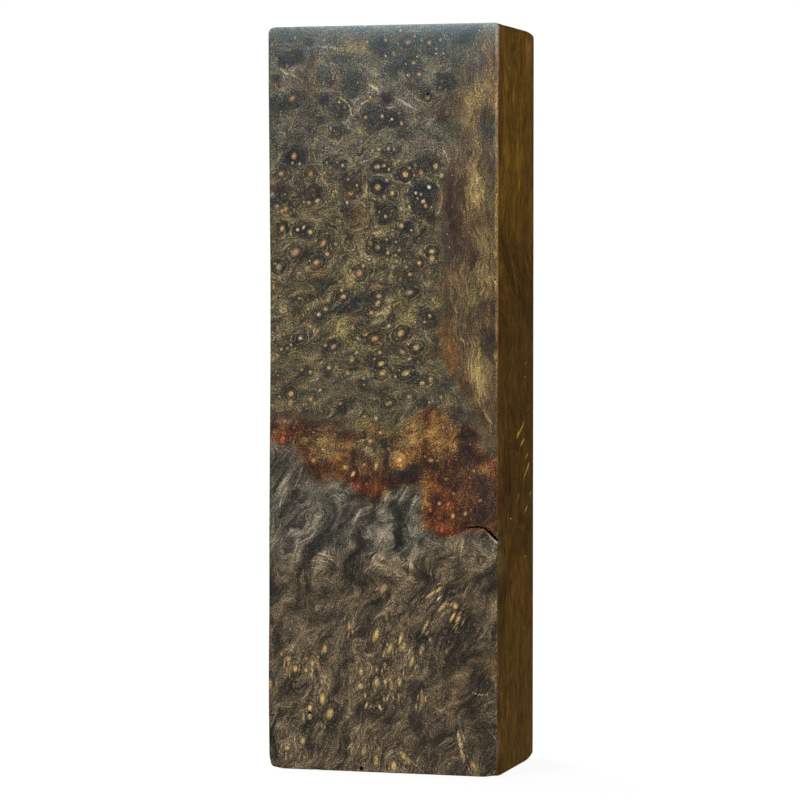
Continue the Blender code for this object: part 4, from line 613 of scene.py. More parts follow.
# Strands that show as thin lines: the half width, how pale, then the points
# that each passes. A dark one is below 0.
FRONT_STRANDS = (
    (0.22, 0.5, ((2.0, 118.3), (3.2, 117.3), (5.0, 116.6), (6.6, 115.6))),
    (0.20, 0.4, ((6.5, 121.2), (9.0, 121.6), (11.5, 121.3), (13.0, 120.9))),
    (0.16, 0.5, ((10.0, 118.3), (11.2, 117.6), (11.6, 116.5), (11.5, 115.5))),
    (0.18, 0.5, ((12.0, 113.3), (13.5, 112.6), (14.5, 111.4), (14.8, 110.0))),
    (0.16, 0.5, ((15.8, 110.5), (16.3, 111.6), (17.3, 112.3), (18.8, 112.9))),
    (0.22, 0.6, ((21.3, 113.4), (23.0, 112.6), (24.6, 111.6), (26.4, 110.4))),
    (0.20, 0.5, ((17.2, 115.6), (18.3, 114.8), (19.3, 114.2), (19.6, 113.2))),
    (0.20, 0.6, ((24.3, 114.4), (25.2, 113.4), (26.2, 112.4), (28.0, 112.0))),
    (0.16, 0.4, ((28.0, 117.4), (29.5, 117.0), (31.0, 117.1), (32.3, 117.8))),
    (0.12, 0.8, ((20.6, 111.4), (21.2, 111.1), (22.3, 111.4))),
    (0.14, 0.4, ((7.2, 104.6), (7.5, 103.4), (7.0, 102.2))),
    (0.16, 0.5, ((22.0, 101.2), (22.4, 102.0), (23.4, 102.6))),
    (0.16, 0.5, ((22.1, 99.4), (23.0, 98.8), (24.3, 98.6), (25.6, 98.9))),
    (0.18, 0.5, ((24.5, 97.4), (24.4, 95.8), (25.0, 94.2), (26.2, 92.8), (27.6, 92.0))),
    (0.16, 0.4, ((30.4, 104.6), (31.2, 103.2), (31.8, 101.6))),
    (0.16, 0.5, ((25.4, 98.9), (27.6, 99.6), (29.6, 98.6), (30.5, 96.4), (30.0, 94.0), (28.6, 92.3))),
    (0.16, 0.4, ((17.6, 99.0), (17.3, 97.4), (18.2, 96.2), (19.8, 95.6))),
    (0.18, 0.4, ((22.7, 94.7), (23.9, 94.3), (25.2, 93.2))),
    (0.16, 0.5, ((26.3, 88.3), (26.9, 87.3), (27.8, 86.2), (28.6, 85.4), (29.7, 85.7), (30.2, 86.8))),
    (0.14, 0.5, ((16.9, 87.6), (17.2, 86.6), (18.0, 86.6), (18.6, 86.2), (18.5, 85.6))),
    (0.18, 0.4, ((18.2, 90.2), (19.6, 90.6), (20.8, 90.1))),
    (0.18, 0.5, ((14.1, 85.6), (14.6, 83.8), (15.6, 82.6))),
    (0.16, 0.4, ((13.8, 88.3), (13.4, 87.0), (12.6, 86.0))),
    (0.14, 0.4, ((9.0, 101.0), (9.6, 99.8), (10.2, 98.8))),
    (0.14, 0.5, ((2.5, 80.4), (3.2, 81.2), (3.8, 81.8))),
    (0.16, 0.4, ((9.6, 74.8), (12.0, 76.4), (14.8, 77.0), (17.6, 78.3))),
    (0.16, 0.5, ((18.4, 76.3), (20.0, 77.2), (21.6, 78.4), (23.0, 78.8))),
    (0.14, 0.4, ((6.6, 72.0), (8.2, 73.2), (9.4, 74.4))),
    (0.14, 0.5, ((21.8, 73.1), (22.6, 74.9), (24.0, 75.2))),
    (0.14, 0.4, ((17.0, 71.6), (18.4, 70.8), (19.8, 71.4), (20.0, 72.8))),
    (0.14, 0.5, ((26.1, 64.9), (27.2, 64.7), (28.2, 65.0), (29.2, 65.8))),
    (0.30, 0.9, ((32.9, 8.2), (33.5, 6.0), (34.0, 3.8), (34.3, 2.0))),
    (0.14, 0.6, ((33.6, 8.3), (34.1, 6.8), (34.4, 5.9))),
    (0.18, 0.4, ((34.3, 5.0), (35.0, 3.0), (36.0, 1.0))),
    (0.13, 0.8, ((35.6, 14.1), (36.5, 13.8), (37.6, 13.7), (38.7, 13.9))),
    (0.08, 0.5, ((38.0, 8.4), (39.2, 7.1), (40.0, 5.9))),
    (0.10, 0.6, ((7.2, 35.3), (9.0, 35.6), (10.8, 35.0), (12.0, 34.2))),
    (0.10, 0.6, ((8.8, 36.8), (10.4, 36.3), (11.6, 35.4), (12.3, 34.6))),
    (0.10, 0.5, ((7.5, 34.2), (8.6, 34.2), (9.6, 33.7))),
    (0.12, 0.6, ((16.8, 36.4), (18.4, 37.0), (19.6, 37.4))),
    (0.12, 0.5, ((16.5, 33.4), (18.2, 34.8), (19.6, 35.6), (21.0, 36.8))),
    (0.12, 0.6, ((4.2, 35.0), (5.2, 38.2), (7.6, 39.4), (9.2, 41.5))),
    (0.12, 0.6, ((2.0, 44.0), (2.4, 46.0), (3.6, 48.2))),
    (0.12, 0.6, ((4.6, 47.2), (5.4, 49.2), (6.2, 51.5))),
    (0.12, 0.6, ((14.6, 41.2), (15.8, 43.2), (16.6, 44.6))),
    (0.14, 0.7, ((20.3, 45.8), (21.0, 46.8), (21.8, 47.4))),
    (0.12, 0.7, ((23.0, 45.5), (23.8, 46.8), (24.6, 48.4))),
    (0.12, 0.6, ((24.8, 44.0), (25.6, 45.6), (26.2, 47.5))),
    (0.12, 0.5, ((30.4, 19.0), (31.0, 20.6), (31.6, 22.4), (32.4, 24.4))),
    (0.12, 0.5, ((33.8, 29.0), (34.6, 31.2), (35.8, 33.0))),
    (0.14, 0.5, ((22.2, 19.8), (23.0, 21.5), (23.8, 24.6))),
    (0.12, 0.5, ((20.0, 18.8), (20.4, 20.4), (21.2, 22.2))),
    (0.14, 0.6, ((36.3, 63.2), (37.4, 61.2), (38.4, 59.6), (39.6, 58.4))),
    (0.12, 0.5, ((33.4, 35.2), (33.9, 38.2), (34.1, 40.0))),
    (0.15, -1.5, ((33.8, 41.25), (35.5, 41.56), (36.7, 41.66), (37.8, 41.45), (38.6, 40.75),
                  (39.4, 40.0), (40.3, 39.2))),
    (0.13, 1.1, ((37.9, 40.95), (38.7, 40.15), (39.3, 39.55), (40.3, 38.75))),
)


# The golden right side, in millimetres in from the front arris and up.
RIGHT_DARK_PATCHES = (
    (4.5, 88.0, 5.5, 1.3, -50, 0.55), (10.5, 82.6, 4.5, 1.3, -35, 0.50), (19.0, 77.5, 6.5, 1.6, -30, 0.50),
    (12.5, 87.5, 3.0, 0.9, -65, 0.45), (15.5, 83.2, 3.0, 1.0, -40, 0.45), (16.5, 98.0, 1.5, 3.5, 0, 0.40),
    (18.5, 94.5, 0.7, 2.2, 0, 0.30), (9.6, 107.0, 0.6, 3.0, 0, 0.35), (2.8, 109.0, 0.9, 2.5, 0, 0.35),
    (0.8, 108.5, 0.9, 6.0, 0, 0.35), (22.5, 79.0, 1.5, 3.0, 0, 0.40), (24.5, 102.0, 0.8, 14.0, 0, 0.30),
    (24.4, 121.0, 0.6, 3.0, 0, 0.40), (1.4, 72.8, 1.8, 2.2, 0, 0.50), (7.0, 73.0, 3.0, 1.3, 0, 0.45),
    (5.0, 75.3, 3.0, 0.6, -15, 0.30), (10.5, 60.0, 1.6, 2.0, 0, 0.45), (6.0, 50.0, 2.4, 5.0, 0, 0.50),
    (8.5, 46.0, 2.0, 3.0, 0, 0.40), (13.0, 54.5, 1.6, 0.8, 0, 0.50), (16.0, 42.2, 2.4, 0.8, -5, 0.60),
    (19.0, 38.0, 2.5, 2.0, 0, 0.40), (22.0, 40.5, 1.2, 1.5, 0, 0.30), (2.5, 30.5, 3.2, 2.0, 0, 0.85),
    (6.5, 31.5, 3.0, 1.8, 0, 0.60), (3.0, 26.0, 2.4, 3.5, 0, 0.60), (2.5, 20.0, 1.2, 2.5, 0, 0.30),
    (0.9, 11.0, 1.4, 2.4, 0, 0.50), (1.8, 1.4, 1.6, 1.4, 0, 0.80), (8.0, 34.8, 3.0, 0.8, -5, 0.40),
    (9.5, 36.5, 1.5, 1.0, 0, 0.30), (20.5, 47.0, 3.0, 1.5, 15, 0.35), (17.0, 60.5, 3.0, 1.2, 25, 0.30),
)
RIGHT_PALE_PATCHES = (
    (20.8, 121.5, 1.8, 2.8, 0, 0.55), (5.5, 115.5, 1.6, 1.6, 0, 0.50), (4.5, 112.0, 1.4, 1.8, 0, 0.40),
    (10.2, 113.0, 1.4, 0.9, -20, 0.60), (8.0, 120.5, 1.4, 4.0, 0, 0.25), (13.5, 118.5, 1.4, 3.0, 0, 0.15),
    (5.8, 103.0, 1.6, 3.5, 0, 0.50), (12.8, 104.5, 0.9, 3.4, 0, 0.50), (14.6, 102.0, 0.9, 2.8, 0, 0.35),
    (7.8, 102.0, 0.7, 2.5, 0, 0.30), (1.8, 101.0, 1.0, 3.0, 0, 0.20), (2.6, 47.0, 3.0, 4.0, 0, -0.20), (13.5, 90.5, 2.2, 2.0, -30, 0.45),
    (11.0, 83.6, 3.8, 0.7, -54, 0.40), (1.8, 84.5, 1.8, 1.2, -10, 0.50), (5.0, 81.0, 2.5, 1.2, -25, 0.35),
    (4.4, 79.6, 2.5, 0.7, 0, 0.35), (11.0, 74.8, 1.8, 0.8, -40, 0.35), (22.8, 92.0, 1.6, 7.0, 0, 0.40),
    (19.0, 70.5, 3.5, 2.0, 0, 0.20), (5.5, 60.0, 0.9, 2.5, 0, 0.25), (2.6, 55.5, 1.6, 1.4, 0, 0.20),
    (9.2, 53.0, 1.2, 0.8, 0, 0.25), (2.5, 49.0, 2.2, 1.0, 0, 0.35), (12.0, 43.2, 0.9, 2.0, 0, 0.40),
    (7.5, 38.8, 2.0, 1.3, 0, 0.55), (2.6, 35.6, 3.6, 1.5, -8, 0.10), (0.8, 39.3, 1.8, 0.35, 0, 0.50),
    (13.0, 31.5, 2.6, 1.0, 0, 0.45), (17.5, 32.5, 3.0, 1.2, 0, 0.30), (16.5, 28.5, 2.5, 1.5, 0, 0.30),
    (10.3, 30.0, 1.3, 1.3, 0, 0.45), (8.8, 27.0, 1.2, 1.6, 0, 0.35), (21.5, 25.5, 1.4, 1.2, 0, 0.35),
    (0.5, 17.6, 0.7, 1.4, 0, 0.40), (2.6, 13.6, 1.3, 0.6, 0, 0.60), (0.5, 5.2, 0.7, 1.0, 0, 0.50),
    (3.3, 4.5, 1.2, 0.6, -20, 0.40), (6.0, 10.0, 0.9, 3.0, 0, 0.25), (11.5, 8.0, 1.5, 2.6, 0, 0.30),
    (14.0, 13.8, 1.0, 1.6, 0, 0.25), (14.8, 4.0, 0.9, 1.4, 0, 0.30), (13.0, 20.0, 2.0, 4.0, 0, 0.20),
)
RIGHT_STAINS = (
    ((2.0, 117.0, 2.6, 10.0, 0), "amber", 0.5), ((1.4, 109.0, 1.5, 15.0, 0), "russet", 0.5),
    ((9.0, 119.5, 3.6, 5.5, 0), "bark", 0.5), ((14.0, 118.0, 3.0, 5.0, 0), "bark", 0.3),
    ((20.8, 121.5, 2.2, 3.2, 0), "amber", 0.6), ((24.2, 120.5, 1.6, 4.0, 0), "amber", 0.6),
    ((0.6, 108.0, 1.2, 8.0, 0), "bark", 0.5),
    ((17.5, 110.0, 2.0, 3.0, 0), "bark", 0.3), ((24.8, 100.0, 1.2, 20.0, 0), "bark", 0.5),
    ((2.0, 84.5, 2.4, 1.6, 0), "gold", 0.5), ((1.4, 72.8, 2.0, 2.6, 0), "russet", 0.5),
    ((1.5, 55.0, 2.2, 4.0, 0), "gold", 0.3), ((2.4, 47.0, 3.0, 3.5, 0), "russet", 0.6),
    ((13.0, 54.6, 1.6, 0.8, 0), "russet", 0.5), ((16.0, 42.3, 2.6, 1.0, 0), "russet", 0.5),
    ((2.4, 35.6, 3.8, 1.9, -8), "olive", 0.3), ((0.8, 39.3, 2.0, 0.5, 0), "olive", 0.6),
    ((3.0, 29.0, 5.0, 4.5, 0), "bark", 0.4), ((1.5, 22.0, 2.4, 7.0, 0), "bark", 0.4),
    ((17.0, 29.0, 4.0, 2.4, 0), "russet", 0.25), ((21.8, 25.6, 2.0, 2.0, 0), "russet", 0.5),
    ((0.8, 11.0, 1.8, 3.0, 0), "bark", 0.7), ((0.6, 5.0, 0.9, 1.3, 0), "silver", 0.6),
    ((12.0, 10.0, 8.0, 12.0, 0), "bark", 0.45), ((1.5, 1.5, 2.2, 1.6, 0), "bark", 0.8),
)
RIGHT_EYES = (
    (16.0, 57.3, 6.30, 0.55, 27, "honey", 0.4, 1.0), (13.7, 56.4, 2.60, 0.80, 30, "honey", 0.4, 1.05),
    (16.9, 55.0, 3.40, 0.75, 22, "honey", 0.5, 1.1), (19.9, 52.5, 2.80, 0.45, 25, "honey", 0.4, 0.95),
    (19.6, 49.9, 5.60, 0.60, 34, "honey", 0.4, 1.0), (20.8, 50.6, 2.40, 0.90, 36, "honey", 0.3, 1.1),
    (13.7, 45.6, 3.20, 0.45, 48, "honey", 0.4, 0.95), (19.5, 43.4, 2.80, 0.60, 30, "honey", 0.4, 0.9),
    (22.4, 45.9, 1.60, 0.40, 42, "honey", 0.3, 0.9), (8.8, 42.5, 0.80, 0.45, 0, "tan", 0.3, 0.95),
    (18.6, 66.0, 1.00, 0.30, 10, "tan", 0.3, 0.8), (19.3, 68.4, 1.60, 0.28, 15, "honey", 0.3, 0.8),
    (7.7, 117.9, 0.40, 0.40, 0, "cream", 0.1, 0.8), (19.0, 98.3, 1.00, 0.30, -10, "tan", 0.2, 0.7),
    (19.0, 35.3, 1.60, 0.40, 8, "honey", 0.3, 0.8), (8.6, 108.1, 0.60, 0.15, 0, "cream", 0.1, 0.7),
)
RIGHT_STRANDS = (
    (0.20, 0.30, ((9.0, 86.6), (10.4, 84.4), (12.2, 82.0), (14.0, 79.6))),
    (0.18, 0.25, ((2.6, 97.0), (4.0, 93.4), (6.0, 89.8), (8.0, 87.4))),
    (0.18, 0.25, ((6.4, 103.0), (6.6, 98.6), (8.0, 94.0), (10.4, 90.6))),
    (0.20, 0.25, ((13.0, 107.6), (13.2, 103.6), (14.2, 99.6), (15.4, 95.0))),
    (0.16, 0.30, ((7.4, 79.8), (9.0, 77.2), (11.4, 74.4))),
    (0.16, 0.25, ((16.0, 88.8), (18.4, 85.8), (21.6, 84.0))),
)


def scatter(draw, width, height, spacing, tries):
    """Seeded places over a side, none closer to another than the spacing."""
    found = []
    for _ in range(tries):
        place = (draw.uniform(0, width), draw.uniform(0, height))
        if all(math.dist(place, other) > spacing for other in found):
            found.append(place)
    return found


def make_back_burl(draw):
    """Clusters and bud eyes for the back, in the front's sizes and colours."""
    clusters = []
    eyes = []
    for across, up in scatter(draw, WIDTH, HEIGHT, 3.5, 3000):
        strip = across < 8.5 and up > 56
        bare = 31 < up < 52
        if strip or (bare and draw.random() < 0.8):
            continue
        clusters.append((across, up, draw.uniform(1.3, 2.4), draw.uniform(1.2, 2.1),
                         draw.uniform(-20, 30)))
        for _ in range(draw.choice((1, 1, 2, 2, 3, 4))):
            a, b = across + draw.gauss(0, 0.8), up + draw.gauss(0, 0.7)
            size = draw.uniform(0.45, 1.15) * (1 if up > 31 else 0.65)
            stretch = draw.uniform(0.8, 1.2) if up > 31 else draw.uniform(1.4, 2.6)
            tilt = draw.uniform(-20, 20) if up > 31 else draw.uniform(5, 30)
            if up > 60:
                shade = draw.choice(("cream", "tan", "gold", "orange", "pink", "tan"))
            else:
                shade = draw.choice(("gold", "orange", "ember") if up > 41 else ("cream", "gold", "tan"))
            eyes.append((a, b, size, size * stretch, tilt, shade, draw.uniform(0.4, 0.8),
                         draw.uniform(0.7, 1.05)))
    return clusters, eyes


def fill_clusters(draw, clusters, eyes):
    """Small eyes for the clusters that still have room for some."""
    added = []
    for across, up, reach_across, reach_up, _ in clusters:
        for _ in range(draw.choice((2, 3, 4, 5))):
            place = (across + draw.gauss(0, reach_across * 0.55),
                     up + draw.gauss(0, reach_up * 0.55))
            size = draw.uniform(0.30, 0.75)
            if any(math.dist(place, eye[:2]) < (eye[2] + eye[3]) / 4 + size / 2 + 0.3
                   for eye in (*eyes, *added)):
                continue
            stained = 40 < up < 60
            warm = ("orange", "ember", "gold") if stained else ("tan", "cream", "dusk", "gold")
            added.append((*place, size, size * draw.uniform(0.8, 1.4), draw.uniform(-25, 40),
                          draw.choice(warm), draw.uniform(0.5, 1.0),
                          draw.uniform(0.6, 0.95) * (0.85 if stained else 1)))
    return tuple(added)


def cut_slantwise(eye):
    """An eye, drawn larger and warmer where it lies in the lower wood."""
    across, up, wide, tall, tilt, shade, halo, bright = eye
    if up > LOWER_TOP:
        return eye
    shade = "wheat" if shade == "cream" else shade
    return across, up, wide * WIDER, tall * LONGER, tilt, shade, halo, bright * DIMMER


def fill_slivers(draw, eyes):
    """Thin strokes beside the eyes of the lower wood, which are cut slantwise."""
    added = []
    for across, up, _, _, tilt, *_ in eyes:
        if up > LOWER_TOP:
            continue
        for _ in range(draw.choice((0, 1, 1, 2))):
            turn = math.radians(tilt)
            aside, ahead = draw.choice((-1, 1)) * draw.uniform(0.6, 1.2), draw.gauss(0, 0.9)
            added.append((across + aside * math.cos(turn) - ahead * math.sin(turn),
                          up + aside * math.sin(turn) + ahead * math.cos(turn),
                          draw.uniform(0.22, 0.40), draw.uniform(0.8, 2.0),
                          tilt + draw.gauss(-4, 6), draw.choice(("cream", "tan", "gold", "tan")),
                          draw.uniform(0.2, 0.5), draw.uniform(0.5, 0.85)))
    return tuple(added)


def make_pegs(draw, side):
    """Bud pegs seen lengthwise, as streaks that run through the thickness."""
    on_left = side == "left"
    width, height = (THICKNESS, HEIGHT) if on_left else (WIDTH, THICKNESS)
    pegs = []
    for across, up in scatter(draw, width, height, 1.9, 5000):
        burl = (up > 56 or up < 31) if on_left else across < 31
        if not burl or draw.random() < 0.25:
            continue
        size = (draw.uniform(1.6, 5.0), draw.uniform(0.35, 0.75))
        if not on_left:
            size = size[::-1]
        shade = draw.choice(("tan", "gold", "cream", "dusk", "orange", "dusk"))
        pegs.append((across, up, *size, draw.uniform(-12, 12), shade,
                     draw.uniform(0.3, 0.7), draw.uniform(0.6, 0.95)))
    return pegs


BACK_CLUSTERS, BACK_EYES = make_back_burl(random.Random(11))
FRONT_EYES = tuple(cut_slantwise(eye) for eye in FRONT_EYES)
FRONT_EYES += fill_clusters(random.Random(12), CLUSTERS, FRONT_EYES)
FRONT_EYES += fill_slivers(random.Random(13), FRONT_EYES)
PEGS = {side: make_pegs(random.Random(seed), side)
        for seed, side in enumerate(("left", "top", "bottom"), start=21)}


def blend(colours, share, wood):
    """Turn the deep and pale colours towards another wood, by a share."""
    for shade, target in zip(colours, WOODS[wood]):
        shade += share[:, None] * (linear(target) - shade)


def zones(points):
    """The shares of strip, rust and silver wood, from the place in the block."""
    depth = points[:, 1] - LOW[1]
    bend = wander(points, 3.2, 1)
    ripple = wander(points, 1.1, 2)
    drift = wander(points, 11.0, 5) * (depth / THICKNESS)[:, None] * ZONE_DRIFT
    x = points[:, 0] - LOW[0] + 0.55 * bend[:, 0] + 0.30 * ripple[:, 0] + drift[:, 0]
    z = points[:, 2] + 0.55 * bend[:, 1] + 0.30 * ripple[:, 1] + drift[:, 1]
    return (inside(x, z, STRIP_OUTLINE, 1.1), inside(x, z, RUST_OUTLINE, 0.8),
            inside(x, z, SILVER_OUTLINE, 0.5))


def ring_height(across, up, clusters):
    """Millimetres out from the nearest ring centres, rounded where they meet."""
    near = np.zeros(len(across))
    for mark in clusters:
        reach = math.sqrt(mark[2] * mark[3])
        near += np.exp(-RING_MERGE * within(across, up, mark) * reach)
    return -np.log(near + 1e-9) / RING_MERGE


def feather_height(points, across, up):
    """Grain height in the lower wood, whose fibres climb steeply to the right."""
    slant = math.radians(58)
    return (across * math.sin(slant) - up * math.cos(slant)
            + 2.6 * wander(points, 7.0, 3)[:, 0] + 1.2 * wander(points, 3.2, 1)[:, 0])


def upright_height(points, across):
    """Grain height of the straight wood, whose fibres stand upright."""
    return across + 1.3 * wander(points, 9.0, 4)[:, 0] + 0.5 * wander(points, 3.2, 1)[:, 0]


def cluster_depth(across, up, clusters):
    """1 in the middle of the nearest cluster, 0 at its rim and below 0 outside."""
    nearest = np.min([within(across, up, mark) for mark in clusters], axis=0)
    return 1 - nearest


def streaks(points, height, along, seed):
    """Uneven streaks that follow the grain, much longer than they are wide."""
    place = np.stack([height, along, points[:, 1] * 0.3], axis=1)
    return wander(place, 1.0, seed)[:, 0] + 0.6 * wander(place, 0.42, seed + 1)[:, 0]


def patch_tone(tone, across, up, pale_patches, dark_patches):
    """Lay the pale patches and then the dark ones over a tone."""
    for mark in pale_patches:
        share = 1 - smooth(0.35, 1.50, within(across, up, mark))
        tone += share * (mark[5] + 0.5 * tone - tone) * 0.85
    for mark in dark_patches:
        share = 1 - smooth(0.40, 1.50, within(across, up, mark))
        tone += share * (0.5 * tone - mark[5] - tone) * 0.85


def stain(colours, across, up, stains):
    """Turn patches of a side towards other woods."""
    for mark, wood, fullness in stains:
        share = fullness * (1 - smooth(0.55, 1.35, within(across, up, mark)))
        blend(colours, share, wood)


def burl_colours(strip, rust, silver):
    """Deep and pale colours from the shares of the woods."""
    colours = [np.tile(linear(shade), (len(strip), 1)) for shade in WOODS["burl"]]
    blend(colours, strip, "umber")
    blend(colours, silver, "silver")
    blend(colours, rust, "rust")
    return colours


def burl_figure(points, across, up, clusters, colours, strip, rust, silver):
    """Tone, grain height and texture strength of burl that runs round its clusters."""
    bend = wander(points, 3.2, 1)
    swirl = 1.1 * wander(points, 2.1, 17)[:, 0] + 0.45 * wander(points, 0.9, 19)[:, 0]
    depth = cluster_depth(across, up, clusters)
    eggs = smooth(0.0, 0.6, depth) * (1 - strip)
    rims = np.exp(-((depth + 0.22) / 0.20) ** 2) * (1 - strip)
    high = smooth(55, 68, up)
    blend(colours, 0.30 * eggs * high, "inky")
    blend(colours, 0.15 * rims * high, "olive")
    low = smooth(70, 60, up) * (1 - 0.5 * rust)
    slanted = feather_height(points, across, up) + 0.20 * swirl
    upright = upright_height(points, across) + 0.15 * swirl
    height = ring_height(across, up, clusters) + swirl
    height += low * (slanted - height)
    height += strip * (upright - height)
    tone = 0.25 * bend[:, 2] + (0.20 + 0.14 * high) * (rims - eggs) + 0.02 * high
    tone += rust * (1.0 * wander(points, 1.9, 26)[:, 0] + 0.8 * wander(points, 4.5, 27)[:, 0] - 0.02)
    tone += 0.12 * strip - 0.06 * silver
    feathers = streaks(points, slanted * 0.55, (across * 0.5 + up * 0.85) * 0.13, 20)
    straight = streaks(points, upright * 0.8, up * 0.06, 22)
    tone += 1.15 * smooth(62, 50, up) * (1 - 0.6 * rust) * (1 - strip) * feathers
    tone += 0.7 * strip * straight
    combed = smooth(90, 80, up) * smooth(56, 64, up) * (1 - strip)
    slant = math.radians(32)
    beside = up * math.cos(slant) - across * math.sin(slant)
    ahead = across * math.cos(slant) + up * math.sin(slant)
    tone += 0.55 * combed * streaks(points, beside * 0.75, ahead * 0.16, 28)
    return tone, height, 1 - 0.10 * low - 0.15 * strip + 0.15 * rust


def front_figure(points, across, up):
    """Wood, tone and grain height on the front face."""
    bend = wander(points, 3.2, 1)
    ripple = wander(points, 1.1, 2)
    shiver = wander(points, 0.45, 16)
    a = across + 0.45 * bend[:, 0] + 0.40 * ripple[:, 0] + 0.25 * shiver[:, 0]
    b = up + 0.45 * bend[:, 1] + 0.40 * ripple[:, 1] + 0.25 * shiver[:, 1]
    strip, rust, silver = zones(points)
    colours = burl_colours(strip, rust, silver)
    blend(colours, 0.9 * smooth(40, 32, up), "smoke")
    blend(colours, 0.8 * smooth(92, 112, up) * (1 - 0.4 * strip), "slate")
    tone, height, weave = burl_figure(points, a, b, CLUSTERS, colours, strip, rust, silver)
    fans = np.min([within(a, b, mark) for mark in FANS], axis=0)
    curled = ring_height(a + 2.0, b + 3.5, FANS) + 0.5 * bend[:, 0] + 0.5 * ripple[:, 1]
    height += smooth(1.25, 0.75, fans) * (curled - height)
    stain(colours, a, b, STAINS)
    patch_tone(tone, a, b, PALE_PATCHES, DARK_PATCHES)
    corner = silver * smooth(28, 32, across) * smooth(36, 32, up)
    tone *= 1 + 0.12 * silver * np.maximum(smooth(31, 36, up), corner)
    tone -= 0.2 * corner
    return (*colours, tone, height, weave)


def back_figure(points, across, up):
    """The back: the same burl, with clusters of its own."""
    strip, rust, silver = zones(points)
    colours = burl_colours(strip, rust, silver)
    blend(colours, 0.9 * smooth(40, 32, up), "smoke")
    blend(colours, 0.8 * smooth(92, 112, up) * (1 - strip), "slate")
    tone, height, weave = burl_figure(points, across, up, BACK_CLUSTERS, colours, strip, rust, silver)
    tone += 0.6 * wander(points, 2.4, 6)[:, 0] + 0.5 * wander(points, 6.0, 7)[:, 1]
    return (*colours, tone, height, weave)


def right_figure(points, across, up):
    """The right side: golden edge grain that leans with the burl beside it."""
    bend = wander(points, 3.2, 1)
    a = across + 0.4 * bend[:, 0]
    b = up + 0.4 * bend[:, 1]
    colours = [np.tile(linear(shade), (len(points), 1)) for shade in WOODS["gold"]]
    blend(colours, 0.8 * smooth(100, 84, up) * (1 - 0.4 * smooth(40, 28, up)), "moss")
    stain(colours, a, b, RIGHT_STAINS)
    tone = 0.15 * wander(points, 4.0, 8)[:, 0] - 0.02
    tone += 0.38 * streaks(points, upright_height(points, across) * 0.7, up * 0.06, 24) - 0.05
    patch_tone(tone, a, b, RIGHT_PALE_PATCHES, RIGHT_DARK_PATCHES)
    tone *= 0.62
    lean = smooth(100, 88, up) * smooth(66, 76, up)
    pegs = smooth(62, 56, up) * smooth(38, 44, up) * smooth(8, 13, across)
    height = upright_height(points, across)
    height += 0.75 * lean * (up - 84) + 0.5 * pegs * (across * 0.4 - up)
    return (*colours, tone + 0.02, height * 0.6, 0.50)


def edge_figure(points, across, up):
    """The left side, top and bottom: pegs of burl seen along their length."""
    strip, rust, silver = zones(points)
    colours = burl_colours(strip, rust, silver)
    tone = 0.7 * wander(points * (1, 0.45, 1), 1.8, 9)[:, 0]
    tone += 0.5 * wander(points * (1, 0.6, 1), 5.0, 10)[:, 1] - 0.1
    reach = points[:, 0] + points[:, 2]
    height = reach + 1.4 * wander(points, 5.0, 11)[:, 0] + 0.5 * wander(points, 2.0, 12)[:, 0]
    return (*colours, tone, height, 0.8)


FIGURES = {"front": front_figure, "back": back_figure, "right": right_figure,
           "left": edge_figure, "top": edge_figure, "bottom": edge_figure}


def tinge(points, deep, pale):
    """Small drifts of hue: blue or plum in the dark wood, olive or tan in the pale."""
    drift = wander(points, 2.6, 14) + 0.6 * wander(points, 0.9, 15)
    for shade, across, cool, warm in ((deep, 0, "inky", "plum"), (pale, 1, "olive", "umber")):
        layer = 0 if shade is deep else 1
        for share, wood in ((np.clip(drift[:, across], 0, 1), cool),
                            (np.clip(-drift[:, across], 0, 1), warm)):
            share = share * smooth(40, 66, points[:, 2])
            shade += share[:, None] * (linear(WOODS[wood][layer]) - shade)


def figure(points, sides):
    """Wood, tone, grain height and texture strength for every point of the block."""
    deep = np.zeros((len(points), 3))
    pale = np.zeros((len(points), 3))
    tone = np.zeros(len(points))
    height = np.zeros(len(points))
    weave = np.zeros(len(points))
    for side, find in FIGURES.items():
        chosen = sides == side
        across, up = on_side(points[chosen], side)
        found = find(points[chosen], across, up)
        if side != "right":
            tinge(points[chosen], *found[:2])
        deep[chosen], pale[chosen], tone[chosen], height[chosen], weave[chosen] = found
    return deep, pale, tone, height, weave


def facing(normals):
    """The side that each normal faces most."""
    names = list(SIDES)
    ways = np.array([SIDES[name][3] for name in names], float)
    return np.array(names)[(normals @ ways.T).argmax(axis=1)]


def cut_faces(shape, faces, axis, places):
    """Cut faces across an axis at sorted places, halving the list each time."""
    if not places or not faces:
        return faces
    middle = len(places) // 2
    place = places[middle] * MM
    below, above, crossed = [], [], []
    for face in faces:
        reach = [vertex.co[axis] for vertex in face.verts]
        if max(reach) <= place + CUT_SLACK:
            below.append(face)
        elif min(reach) >= place - CUT_SLACK:
            above.append(face)
        else:
            crossed.append(face)
    if crossed:
        edges = {edge for face in crossed for edge in face.edges}
        verts = {vertex for edge in edges for vertex in edge.verts}
        normal = [0, 0, 0]
        normal[axis] = 1
        found = bmesh.ops.bisect_plane(shape, geom=list(verts) + list(edges) + crossed,
                                       dist=CUT_SLACK, plane_co=[place] * 3, plane_no=normal)
        for item in found["geom"]:
            if isinstance(item, bmesh.types.BMFace):
                centre = item.calc_center_median()[axis]
                (below if centre < place else above).append(item)
    return (cut_faces(shape, below, axis, places[:middle])
            + cut_faces(shape, above, axis, places[middle + 1:]))


